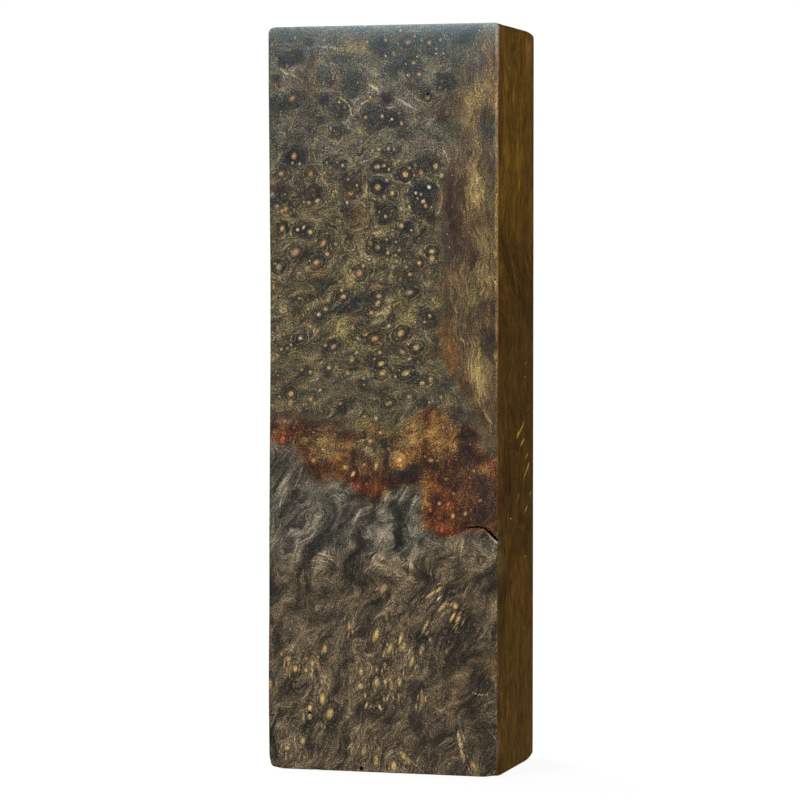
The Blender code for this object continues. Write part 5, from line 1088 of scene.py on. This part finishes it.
def cut_block():
    """A copy of the block's solid, cut into small cells."""
    shape = bmesh.new()
    shape.from_mesh(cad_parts[BLOCK].data)
    bmesh.ops.remove_doubles(shape, verts=shape.verts, dist=1e-7)
    bmesh.ops.dissolve_limit(shape, angle_limit=math.radians(0.2), use_dissolve_boundaries=False,
                             verts=shape.verts, edges=shape.edges)

    def places(axis, cell):
        reach = HIGH[axis] - LOW[axis]
        count = int(round(reach / cell))
        return list(LOW[axis] + reach * np.arange(1, count) / count)

    front = [face for face in shape.faces if face.normal.y < -0.9]
    others = [face for face in shape.faces if face.normal.y >= -0.9]
    front = cut_faces(shape, front, 2, places(2, FRONT_CELL))
    cut_faces(shape, front, 0, places(0, FRONT_CELL))
    others = cut_faces(shape, others, 2, places(2, OTHER_CELL))
    others = cut_faces(shape, others, 1, places(1, OTHER_CELL))
    cut_faces(shape, others, 0, places(0, OTHER_CELL))
    mesh = bpy.data.meshes.new("figured_burl")
    shape.to_mesh(mesh)
    shape.free()
    return mesh


def wear_edges(mesh):
    """Draw the block in a little at the back's top and bottom and at two corners."""
    points = read(mesh.vertices, "co", 3) / MM
    near = np.clip((points[:, 1] - HIGH[1] + WEAR_START) / WEAR_START, 0, 1) ** 2
    for end, wear, way in ((LOW[2], WEAR_BOTTOM, 1), (HIGH[2], WEAR_TOP, -1)):
        felt = near * np.clip(1 - np.abs(points[:, 2] - end) / WEAR_REACH, 0, 1)
        points[:, 2] += way * wear * felt
        points[:, 1] -= 0.3 * wear * felt ** 3
    for across, way in ((HIGH[0], -1), (LOW[0], 1)):
        away = np.linalg.norm(points - (across, LOW[1], LOW[2]), axis=1)
        close = np.clip(1 - away / CORNER_REACH, 0, 1) ** 1.5
        points += close[:, None] * CORNER_WEAR * (0.7 * way, 0.5, 1.0)
    mesh.vertices.foreach_set("co", (points * MM).astype(np.float32).ravel())
    mesh.update()


def eyes_on(side):
    """The bud eyes of one side."""
    known = {"front": FRONT_EYES, "right": RIGHT_EYES, "back": BACK_EYES}
    return known[side] if side in known else PEGS[side]


def strands_on(side):
    """The strands of one side."""
    return {"front": FRONT_STRANDS, "right": RIGHT_STRANDS}.get(side, ())


def mark_eyes(mesh, corner_points, corner_face, face_points, face_sides):
    """Each face's nearest eyes: where its corners lie in them, and their colours."""
    layers = [np.tile([9.0, 9.0, 0.0], (len(corner_points), 1)) for _ in range(EYE_LAYERS)]
    shades = [np.zeros((len(corner_points), 4)) for _ in range(EYE_LAYERS)]
    for side in SIDES:
        eyes = eyes_on(side)
        if not eyes:
            continue
        chosen = np.flatnonzero(face_sides == side)
        across, up = on_side(face_points[chosen], side)
        away = np.stack([within(across, up, (eye[0], eye[1], eye[2] / 2, eye[3] / 2, eye[4]))
                         for eye in eyes], axis=1)
        order = np.argsort(away, axis=1)[:, :EYE_LAYERS]
        of_face = np.full(len(face_points), -1)
        of_face[chosen] = np.arange(len(chosen))
        corners = np.flatnonzero(of_face[corner_face] >= 0)
        corner_across, corner_up = on_side(corner_points[corners], side)
        table = np.array([[*eye[:5], eye[6]] for eye in eyes])
        tints = np.array([[*(linear(EYE_SHADES[eye[5]]) * eye[7]), 1] for eye in eyes])
        for layer in range(EYE_LAYERS):
            eye = order[of_face[corner_face[corners]], layer]
            turn = np.radians(table[eye, 4])
            a = corner_across - table[eye, 0]
            b = corner_up - table[eye, 1]
            layers[layer][corners, 0] = (a * np.cos(turn) + b * np.sin(turn)) / (table[eye, 2] / 2)
            layers[layer][corners, 1] = (b * np.cos(turn) - a * np.sin(turn)) / (table[eye, 3] / 2)
            layers[layer][corners, 2] = table[eye, 5]
            shades[layer][corners] = tints[eye]
    for layer in range(EYE_LAYERS):
        store(mesh, f"eye_{layer + 1}", 'FLOAT_VECTOR', 'CORNER', layers[layer])
        store(mesh, f"eye_shade_{layer + 1}", 'FLOAT_COLOR', 'CORNER', shades[layer])


def mark_strands(mesh, corner_points, corner_face, face_points, face_sides):
    """Each face's nearest strands: how far across and along its corners lie."""
    layers = [np.tile([9.0, 0.0, 0.0], (len(corner_points), 1)) for _ in range(STRAND_LAYERS)]
    for side in SIDES:
        pieces = []
        for number, (half_width, pale, points) in enumerate(strands_on(side)):
            count = len(points) - 1
            for step in range(count):
                pieces.append((*points[step], *points[step + 1], half_width, pale,
                               step / count, 1 / count, number))
        if not pieces:
            continue
        pieces = np.array(pieces)
        chosen = np.flatnonzero(face_sides == side)
        across, up = on_side(face_points[chosen], side)
        run = pieces[:, 2:4] - pieces[:, 0:2]
        length = np.hypot(run[:, 0], run[:, 1])
        offset_a = across[:, None] - pieces[None, :, 0]
        offset_b = up[:, None] - pieces[None, :, 1]
        t = np.clip((offset_a * run[:, 0] + offset_b * run[:, 1]) / length ** 2, 0, 1)
        away = np.hypot(offset_a - t * run[:, 0], offset_b - t * run[:, 1]) / pieces[:, 4]
        order = np.argsort(away, axis=1)
        first = order[:, 0]
        other = pieces[order, 8] != pieces[first, 8][:, None]
        second = order[np.arange(len(order)), other.argmax(axis=1)]
        of_face = np.full(len(face_points), -1)
        of_face[chosen] = np.arange(len(chosen))
        corners = np.flatnonzero(of_face[corner_face] >= 0)
        corner_across, corner_up = on_side(corner_points[corners], side)
        for layer, nearest in enumerate((first, second)):
            piece = nearest[of_face[corner_face[corners]]]
            a = corner_across - pieces[piece, 0]
            b = corner_up - pieces[piece, 1]
            long = length[piece]
            way_a, way_b = run[piece, 0] / long, run[piece, 1] / long
            beside = (a * way_b - b * way_a) / pieces[piece, 4]
            along = (a * way_a + b * way_b) / long
            layers[layer][corners, 0] = beside
            layers[layer][corners, 1] = pieces[piece, 6] + along * pieces[piece, 7]
            layers[layer][corners, 2] = pieces[piece, 5]
    for layer in range(STRAND_LAYERS):
        store(mesh, f"strand_{layer + 1}", 'FLOAT_VECTOR', 'CORNER', layers[layer])


def store(mesh, name, kind, domain, values):
    """Put an array of values on a mesh as a named attribute."""
    attribute = mesh.attributes.new(name, kind, domain)
    field = {'FLOAT': "value", 'FLOAT_VECTOR': "vector", 'FLOAT_COLOR': "color"}[kind]
    attribute.data.foreach_set(field, np.asarray(values, np.float32).ravel())


def read(sequence, field, width, kind=np.float32):
    """One field of every item of a mesh's sequence, as an array."""
    values = np.zeros(len(sequence) * width, kind)
    sequence.foreach_get(field, values)
    return values.reshape(-1, width) if width > 1 else values


def mark_figure(mesh):
    """Give the cut block all the attributes that its material reads."""
    points = read(mesh.vertices, "co", 3) / MM
    sides = facing(read(mesh.vertices, "normal", 3))
    deep, pale, tone, height, weave = figure(points, sides)
    opaque = np.ones((len(points), 1))
    store(mesh, "deep_wood", 'FLOAT_COLOR', 'POINT', np.hstack([deep, opaque]))
    store(mesh, "pale_wood", 'FLOAT_COLOR', 'POINT', np.hstack([pale, opaque]))
    store(mesh, "grain_height", 'FLOAT', 'POINT', height)
    up = points[:, 2]
    ahead = points[:, 1] < LOW[1] + 0.7
    # Painted sheen: the front's top edge, and more faintly a band below it, weaker towards the left, is
    # turned towards a pale blue, standing for the cool light caught on the rounded rim.
    weaker = 0.55 + 0.45 * smooth(6, 14, points[:, 0] - LOW[0])
    painted_sheen = 0.6 * np.exp((up - HEIGHT) / 1.2) * weaker * ahead
    painted_sheen += 0.10 * smooth(110, 126, up) * ahead
    # Painted shade in recesses: darker where the surface lies more than about half a millimetre below the
    # block's box, with the sanded left side allowed for.
    depth = np.minimum(points - LOW - (SIDE_HOLLOW, 0, 0), HIGH - points).min(axis=1)
    store(mesh, "painted_recess_shade", 'FLOAT', 'POINT', smooth(0.35, 0.6, depth))
    store(mesh, "painted_sheen", 'FLOAT', 'POINT', painted_sheen)
    store(mesh, "weave", 'FLOAT', 'POINT', weave)
    strip, rust, silver = zones(points)
    golden = sides == "right"
    silky = np.maximum(0.6 * golden, 0.2 * np.maximum(strip, silver * smooth(32, 37, up)))
    coarse = (smooth(92, 112, up) + 0.3 * smooth(37, 32, up) + 0.8 * rust) * ahead * ~golden
    store(mesh, "grit", 'FLOAT', 'POINT', coarse - SILK * silky)
    # Painted highlight: the tone is raised on the near vertical arris, from about 60 mm up, where the edge
    # catches the light.
    painted_arris_highlight = (points[:, 0] > HIGH[0] - 0.35) & (points[:, 1] < LOW[1] + 0.35)
    store(mesh, "tone", 'FLOAT', 'POINT', tone + 0.7 * painted_arris_highlight * smooth(60, 75, up))

    corner_points = points[read(mesh.loops, "vertex_index", 1, np.int32)]
    totals = read(mesh.polygons, "loop_total", 1, np.int32)
    corner_face = np.repeat(np.arange(len(totals)), totals)
    face_points = read(mesh.polygons, "center", 3) / MM
    face_sides = facing(read(mesh.polygons, "normal", 3))
    mark_eyes(mesh, corner_points, corner_face, face_points, face_sides)
    mark_strands(mesh, corner_points, corner_face, face_points, face_sides)


class Nodes:
    """Short ways to add and join the nodes of one tree."""

    def __init__(self, tree):
        self.tree = tree

    def add(self, kind, inputs=None, **settings):
        node = self.tree.nodes.new(kind)
        for name, value in settings.items():
            setattr(node, name, value)
        for name, value in (inputs or {}).items():
            self.feed(node.inputs[name], value)
        return node

    def feed(self, socket, value):
        if isinstance(value, bpy.types.NodeSocket):
            self.tree.links.new(value, socket)
        else:
            socket.default_value = value

    def maths(self, operation, first, second=0.0, third=0.0, clamp=False):
        node = self.add('ShaderNodeMath', {0: first, 1: second, 2: third},
                        operation=operation, use_clamp=clamp)
        return node.outputs[0]

    def step(self, value, low, high, start=0.0, end=1.0):
        node = self.add('ShaderNodeMapRange',
                        {"Value": value, "From Min": low, "From Max": high,
                         "To Min": start, "To Max": end},
                        interpolation_type='SMOOTHSTEP')
        return node.outputs["Result"]

    def mix(self, share, first, second, clamp_factor=True):
        node = self.add('ShaderNodeMix', data_type='RGBA', clamp_factor=clamp_factor)
        self.feed(node.inputs[0], share)
        self.feed(node.inputs[6], first)
        self.feed(node.inputs[7], second)
        return node.outputs[2]

    def attribute(self, name):
        return self.add('ShaderNodeAttribute', attribute_name=name)

    def noise(self, vector, scale, detail=2.0, roughness=0.55, distortion=0.0):
        node = self.add('ShaderNodeTexNoise',
                        {"Vector": vector, "Scale": scale, "Detail": detail,
                         "Roughness": roughness, "Distortion": distortion})
        return node.outputs["Fac"]


def make_fibre_group():
    """Fine streaks that run along the grain: level where the grain height is."""
    tree = bpy.data.node_groups.new("burl_fibres", 'ShaderNodeTree')
    face = tree.interface
    face.new_socket("Position", in_out='INPUT', socket_type='NodeSocketVector')
    face.new_socket("Grain Height", in_out='INPUT', socket_type='NodeSocketFloat')
    face.new_socket("Across", in_out='INPUT', socket_type='NodeSocketFloat')
    face.new_socket("Along", in_out='INPUT', socket_type='NodeSocketFloat')
    face.new_socket("Streak", in_out='OUTPUT', socket_type='NodeSocketFloat')
    make = Nodes(tree)
    given = make.add('NodeGroupInput').outputs
    slow = make.add('ShaderNodeVectorMath', {0: given["Position"], 3: given["Along"]},
                    operation='SCALE').outputs[0]
    climb = make.maths('MULTIPLY', given["Grain Height"], given["Across"])
    lean = make.add('ShaderNodeVectorMath', {0: (0.62, 0.53, 0.58), 3: climb},
                    operation='SCALE').outputs[0]
    place = make.add('ShaderNodeVectorMath', {0: slow, 1: lean}, operation='ADD').outputs[0]
    streak = make.noise(place, 1.0, detail=3.0, roughness=0.6)
    make.add('NodeGroupOutput', {"Streak": streak})
    return tree


def make_eye_group():
    """One bud eye: its disc, the dark halo round it and the pale ring beyond."""
    tree = bpy.data.node_groups.new("bud_eye", 'ShaderNodeTree')
    face = tree.interface
    face.new_socket("Place", in_out='INPUT', socket_type='NodeSocketVector')
    face.new_socket("Wobble", in_out='INPUT', socket_type='NodeSocketFloat')
    for name in ("Disc", "Core", "Halo", "Ring"):
        face.new_socket(name, in_out='OUTPUT', socket_type='NodeSocketFloat')
    make = Nodes(tree)
    given = make.add('NodeGroupInput').outputs
    parts = make.add('ShaderNodeSeparateXYZ', {0: given["Place"]}).outputs
    squared = make.maths('MULTIPLY_ADD', parts[0], parts[0],
                         make.maths('MULTIPLY', parts[1], parts[1]))
    away = make.maths('MULTIPLY_ADD', given["Wobble"], 1.6,
                      make.maths('SUBTRACT', make.maths('SQRT', squared), 0.8))
    disc = make.step(away, 1.20, 0.80)
    core = make.step(away, 0.95, 0.30)
    halo = make.maths('MULTIPLY', make.step(away, 2.7, 1.2), parts[2])
    ring = make.maths('SINE', make.maths('MULTIPLY_ADD', away, 5.71, -7.28))
    ring = make.maths('MULTIPLY', ring, make.step(away, 4.4, 1.8))
    ring = make.maths('MULTIPLY', ring, parts[2])
    make.add('NodeGroupOutput', {"Disc": disc, "Core": core, "Halo": halo, "Ring": ring})
    return tree


def make_strand_group():
    """One strand: how strongly it shows, fading out at both ends."""
    tree = bpy.data.node_groups.new("pale_strand", 'ShaderNodeTree')
    face = tree.interface
    face.new_socket("Place", in_out='INPUT', socket_type='NodeSocketVector')
    face.new_socket("Wobble", in_out='INPUT', socket_type='NodeSocketFloat')
    face.new_socket("Strength", in_out='OUTPUT', socket_type='NodeSocketFloat')
    make = Nodes(tree)
    given = make.add('NodeGroupInput').outputs
    parts = make.add('ShaderNodeSeparateXYZ', {0: given["Place"]}).outputs
    beside = make.maths('ABSOLUTE', make.maths('MULTIPLY_ADD', given["Wobble"], 2.4,
                                               make.maths('SUBTRACT', parts[0], 1.2)))
    shown = make.step(beside, 1.5, 0.2)
    start = make.step(parts[1], -0.02, 0.2)
    end = make.step(parts[1], 1.02, 0.8)
    strength = make.maths('MULTIPLY', make.maths('MULTIPLY', shown, start),
                          make.maths('MULTIPLY', end, parts[2]))
    make.add('NodeGroupOutput', {"Strength": strength})
    return tree


def make_burl_material():
    """Sanded, resin-filled burl, drawn from the block's attributes."""
    material = bpy.data.materials.new("stabilized_burl")
    material.use_nodes = True
    tree = material.node_tree
    make = Nodes(tree)
    shader = tree.nodes["Principled BSDF"]

    position = make.add('ShaderNodeMapping', {
        "Vector": make.add('ShaderNodeTexCoord').outputs["Object"],
        "Scale": (1 / MM, 1 / MM, 1 / MM)}).outputs[0]
    height = make.attribute("grain_height").outputs["Fac"]
    tone = make.attribute("tone").outputs["Fac"]
    deep = make.attribute("deep_wood").outputs["Color"]
    pale = make.attribute("pale_wood").outputs["Color"]

    fibres = make_fibre_group()

    def fibre(across, along):
        node = make.add('ShaderNodeGroup', node_tree=fibres)
        make.feed(node.inputs["Position"], position)
        make.feed(node.inputs["Grain Height"], height)
        node.inputs["Across"].default_value = across
        node.inputs["Along"].default_value = along
        return node.outputs["Streak"]

    coarse = fibre(1.2, 0.22)
    fine = fibre(5.0, 0.55)
    mottle = make.noise(position, 1.3, detail=3.0, roughness=0.65)
    speckle = make.noise(position, 4.4, detail=2.0, roughness=0.75)
    grit = make.attribute("grit").outputs["Fac"]
    weave = 0.0
    for streak, plain, gritty in ((coarse, 0.7, 0.6), (fine, 2.4, 1.6), (mottle, 0.7, 0.8),
                                  (speckle, 2.6, 3.2)):
        share = make.maths('MULTIPLY_ADD', grit, gritty - plain, plain)
        weave = make.maths('MULTIPLY_ADD', make.maths('SUBTRACT', streak, 0.5), share, weave)
    near = make.maths('ABSOLUTE', make.maths('SUBTRACT', coarse, 0.5))
    weave = make.maths('MULTIPLY_ADD', make.step(near, 0.030, 0.0), 0.08, weave)
    weave = make.maths('MULTIPLY_ADD', make.step(speckle, 0.60, 0.74), 0.30, weave)
    weave = make.maths('MULTIPLY', weave, make.attribute("weave").outputs["Fac"])
    level = make.maths('ADD', weave, make.maths('MULTIPLY_ADD', tone, 0.48, 0.45))

    strand_group = make_strand_group()
    wobble = make.noise(position, 1.6, detail=2.0)
    strands = 0.0
    for layer in range(STRAND_LAYERS):
        node = make.add('ShaderNodeGroup', node_tree=strand_group)
        make.feed(node.inputs["Place"], make.attribute(f"strand_{layer + 1}").outputs["Vector"])
        make.feed(node.inputs["Wobble"], wobble)
        strands = make.maths('ADD', node.outputs["Strength"], strands)
    broken = make.step(fine, 0.30, 0.62, 0.35, 1.0)
    level = make.maths('MULTIPLY_ADD', strands, broken, level)

    eye_group = make_eye_group()
    eyes = []
    for layer in range(EYE_LAYERS):
        node = make.add('ShaderNodeGroup', node_tree=eye_group)
        make.feed(node.inputs["Place"], make.attribute(f"eye_{layer + 1}").outputs["Vector"])
        make.feed(node.inputs["Wobble"], make.maths('MULTIPLY_ADD', fine, 0.5,
                                                    make.maths('MULTIPLY', mottle, 0.5)))
        eyes.append(node.outputs)
    for eye in eyes:
        level = make.maths('MULTIPLY_ADD', eye["Halo"], -0.20, level)
        level = make.maths('MULTIPLY_ADD', eye["Ring"], 0.31, level)

    # Painted shade: the level drops steeply where the surface lies sunk below the block's box.
    painted_recess_shade = make.attribute("painted_recess_shade").outputs["Fac"]
    level = make.maths('MULTIPLY_ADD', painted_recess_shade, -1.5, level)
    over = make.maths('SUBTRACT', level, 0.45)
    bent = make.maths('MULTIPLY_ADD', make.maths('MULTIPLY', over, over), -0.6, -1.375)
    shown = make.maths('EXPONENT', make.maths('MULTIPLY_ADD', over, 2.8, bent))
    colour = make.mix(make.maths('MINIMUM', shown, 1.9), deep, pale, clamp_factor=False)

    flecks = make.step(weave, -0.28, 0.34, 0.15, 1.85)
    for layer, eye in reversed(list(enumerate(eyes))):
        shade = make.attribute(f"eye_shade_{layer + 1}").outputs["Color"]
        rim = make.mix(0.22, deep, shade)
        lit = make.maths('MULTIPLY', flecks, make.maths('MULTIPLY_ADD', eye["Core"], 0.8, 0.25))
        body = make.mix(lit, rim, shade, clamp_factor=False)
        colour = make.mix(eye["Disc"], colour, body)

    # Painted sheen: the colour is pulled towards a pale blue along the front's top edge, broken by speckles.
    painted_sheen = make.maths('MULTIPLY', make.attribute("painted_sheen").outputs["Fac"],
                       make.step(speckle, 0.25, 0.75, 0.25, 1.0))
    colour = make.mix(painted_sheen, colour, (*linear((164, 192, 202)), 1))
    make.feed(shader.inputs["Base Color"], colour)
    roughness = make.maths('MULTIPLY_ADD', mottle, 0.25, 0.40)
    make.feed(shader.inputs["Roughness"], roughness)
    shader.inputs["Specular IOR Level"].default_value = 0.28
    bump = make.add('ShaderNodeBump', {"Strength": 0.25, "Distance": 0.05 * MM,
                                       "Height": make.maths('ADD', fine, speckle)})
    make.feed(shader.inputs["Normal"], bump.outputs["Normal"])
    return material


def make_block():
    """The figured block, standing for the plain solid of the frame."""
    mesh = cut_block()
    mark_figure(mesh)
    wear_edges(mesh)
    mesh.materials.append(make_burl_material())
    mesh.shade_smooth()
    mesh.set_sharp_from_angle(angle=math.radians(40))
    block = bpy.data.objects.new("figured_burl_block", mesh)
    bpy.context.scene.collection.objects.link(block)
    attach(block, "root")
    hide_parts(BLOCK)
    return block


def make_camera():
    """The photograph's view: from the right of the front, a little above."""
    azimuth, elevation = math.radians(16.05), math.radians(2.17)
    away, shift_right, shift_up = 0.5847, -0.0004, -0.0004
    back = Vector((math.sin(azimuth) * math.cos(elevation),
                   -math.cos(azimuth) * math.cos(elevation), math.sin(elevation)))
    right = Vector((math.cos(azimuth), math.sin(azimuth), 0))
    above = back.cross(right)
    data = bpy.data.cameras.new("camera")
    data.sensor_width = 36
    data.lens = 154.4
    data.clip_start = 0.01
    data.clip_end = 20
    camera = bpy.data.objects.new("camera", data)
    middle = Vector((0, 0, HEIGHT / 2 * MM))
    camera.location = middle + back * away + right * shift_right + above * shift_up
    camera.rotation_mode = 'QUATERNION'
    camera.rotation_quaternion = back.to_track_quat('Z', 'Y')
    bpy.context.scene.collection.objects.link(camera)
    bpy.context.scene.camera = camera


def add_light(name, place, aim, size, power, colour):
    """A square soft light that looks at a point."""
    data = bpy.data.lights.new(name, 'AREA')
    data.shape = 'SQUARE'
    data.size = size
    data.energy = power
    data.color = colour
    light = bpy.data.objects.new(name, data)
    light.location = place
    light.rotation_mode = 'QUATERNION'
    light.rotation_quaternion = (Vector(place) - Vector(aim)).to_track_quat('Z', 'Y')
    bpy.context.scene.collection.objects.link(light)


def make_studio():
    """A pale floor, seen from above alone, that fades into a white sky, and soft lights."""
    shape = bmesh.new()
    bmesh.ops.create_circle(shape, segments=96, radius=FLOOR_REACH, cap_ends=True)
    mesh = bpy.data.meshes.new("floor")
    shape.to_mesh(mesh)
    shape.free()
    floor = bpy.data.objects.new("floor", mesh)
    bpy.context.scene.collection.objects.link(floor)
    paper = bpy.data.materials.new("pale_paper")
    paper.use_nodes = True
    shader = paper.node_tree.nodes["Principled BSDF"]
    shader.inputs["Base Color"].default_value = (0.12, 0.12, 0.12, 1)
    shader.inputs["Emission Color"].default_value = (1, 1, 1, 1)
    shader.inputs["Emission Strength"].default_value = 0.9
    shader.inputs["Roughness"].default_value = 0.9
    shader.inputs["Specular IOR Level"].default_value = 0.0
    make = Nodes(paper.node_tree)
    place = make.add('ShaderNodeTexCoord').outputs["Object"]
    away = make.add('ShaderNodeVectorMath', {0: place}, operation='LENGTH').outputs["Value"]
    below = make.add('ShaderNodeNewGeometry').outputs["Backfacing"]
    fade = make.step(away, FLOOR_REACH, FLOOR_REACH * 0.3)
    make.feed(shader.inputs["Alpha"], make.maths('MULTIPLY', fade, make.maths('SUBTRACT', 1.0, below)))
    mesh.materials.append(paper)
    floor.visible_glossy = False

    middle = (0, 0, HEIGHT / 2 * MM)
    add_light("key", (-0.55, -0.9, 0.75), middle, 0.7, 7.0, (1.0, 0.985, 0.95))
    add_light("haze", (-0.321, -1.119, 0.36), middle, 0.25, 0.8, (0.86, 0.94, 1.0))
    add_light("side", (1.0, -0.45, 0.45), middle, 0.6, 7.2, (1.0, 0.96, 0.90))
    add_light("above", (-0.6, 0.35, 1.1), middle, 0.7, 12.0, (1.0, 1.0, 1.0))

    world = bpy.data.worlds.new("sky")
    bpy.context.scene.world = world
    world.use_nodes = True
    make = Nodes(world.node_tree)
    sky = world.node_tree.nodes["Background"]
    sky.inputs["Color"].default_value = (1, 1, 1, 1)
    path = make.add('ShaderNodeLightPath').outputs
    strength = make.maths('MULTIPLY_ADD', path["Is Camera Ray"], SKY_SEEN - SKY_LIGHT, SKY_LIGHT)
    strength = make.maths('MULTIPLY_ADD', path["Is Glossy Ray"], SKY_GLOSS - SKY_LIGHT, strength)
    make.feed(sky.inputs["Strength"], strength)
    bpy.context.scene.view_settings.view_transform = 'Standard'


make_camera()
make_studio()
make_block()
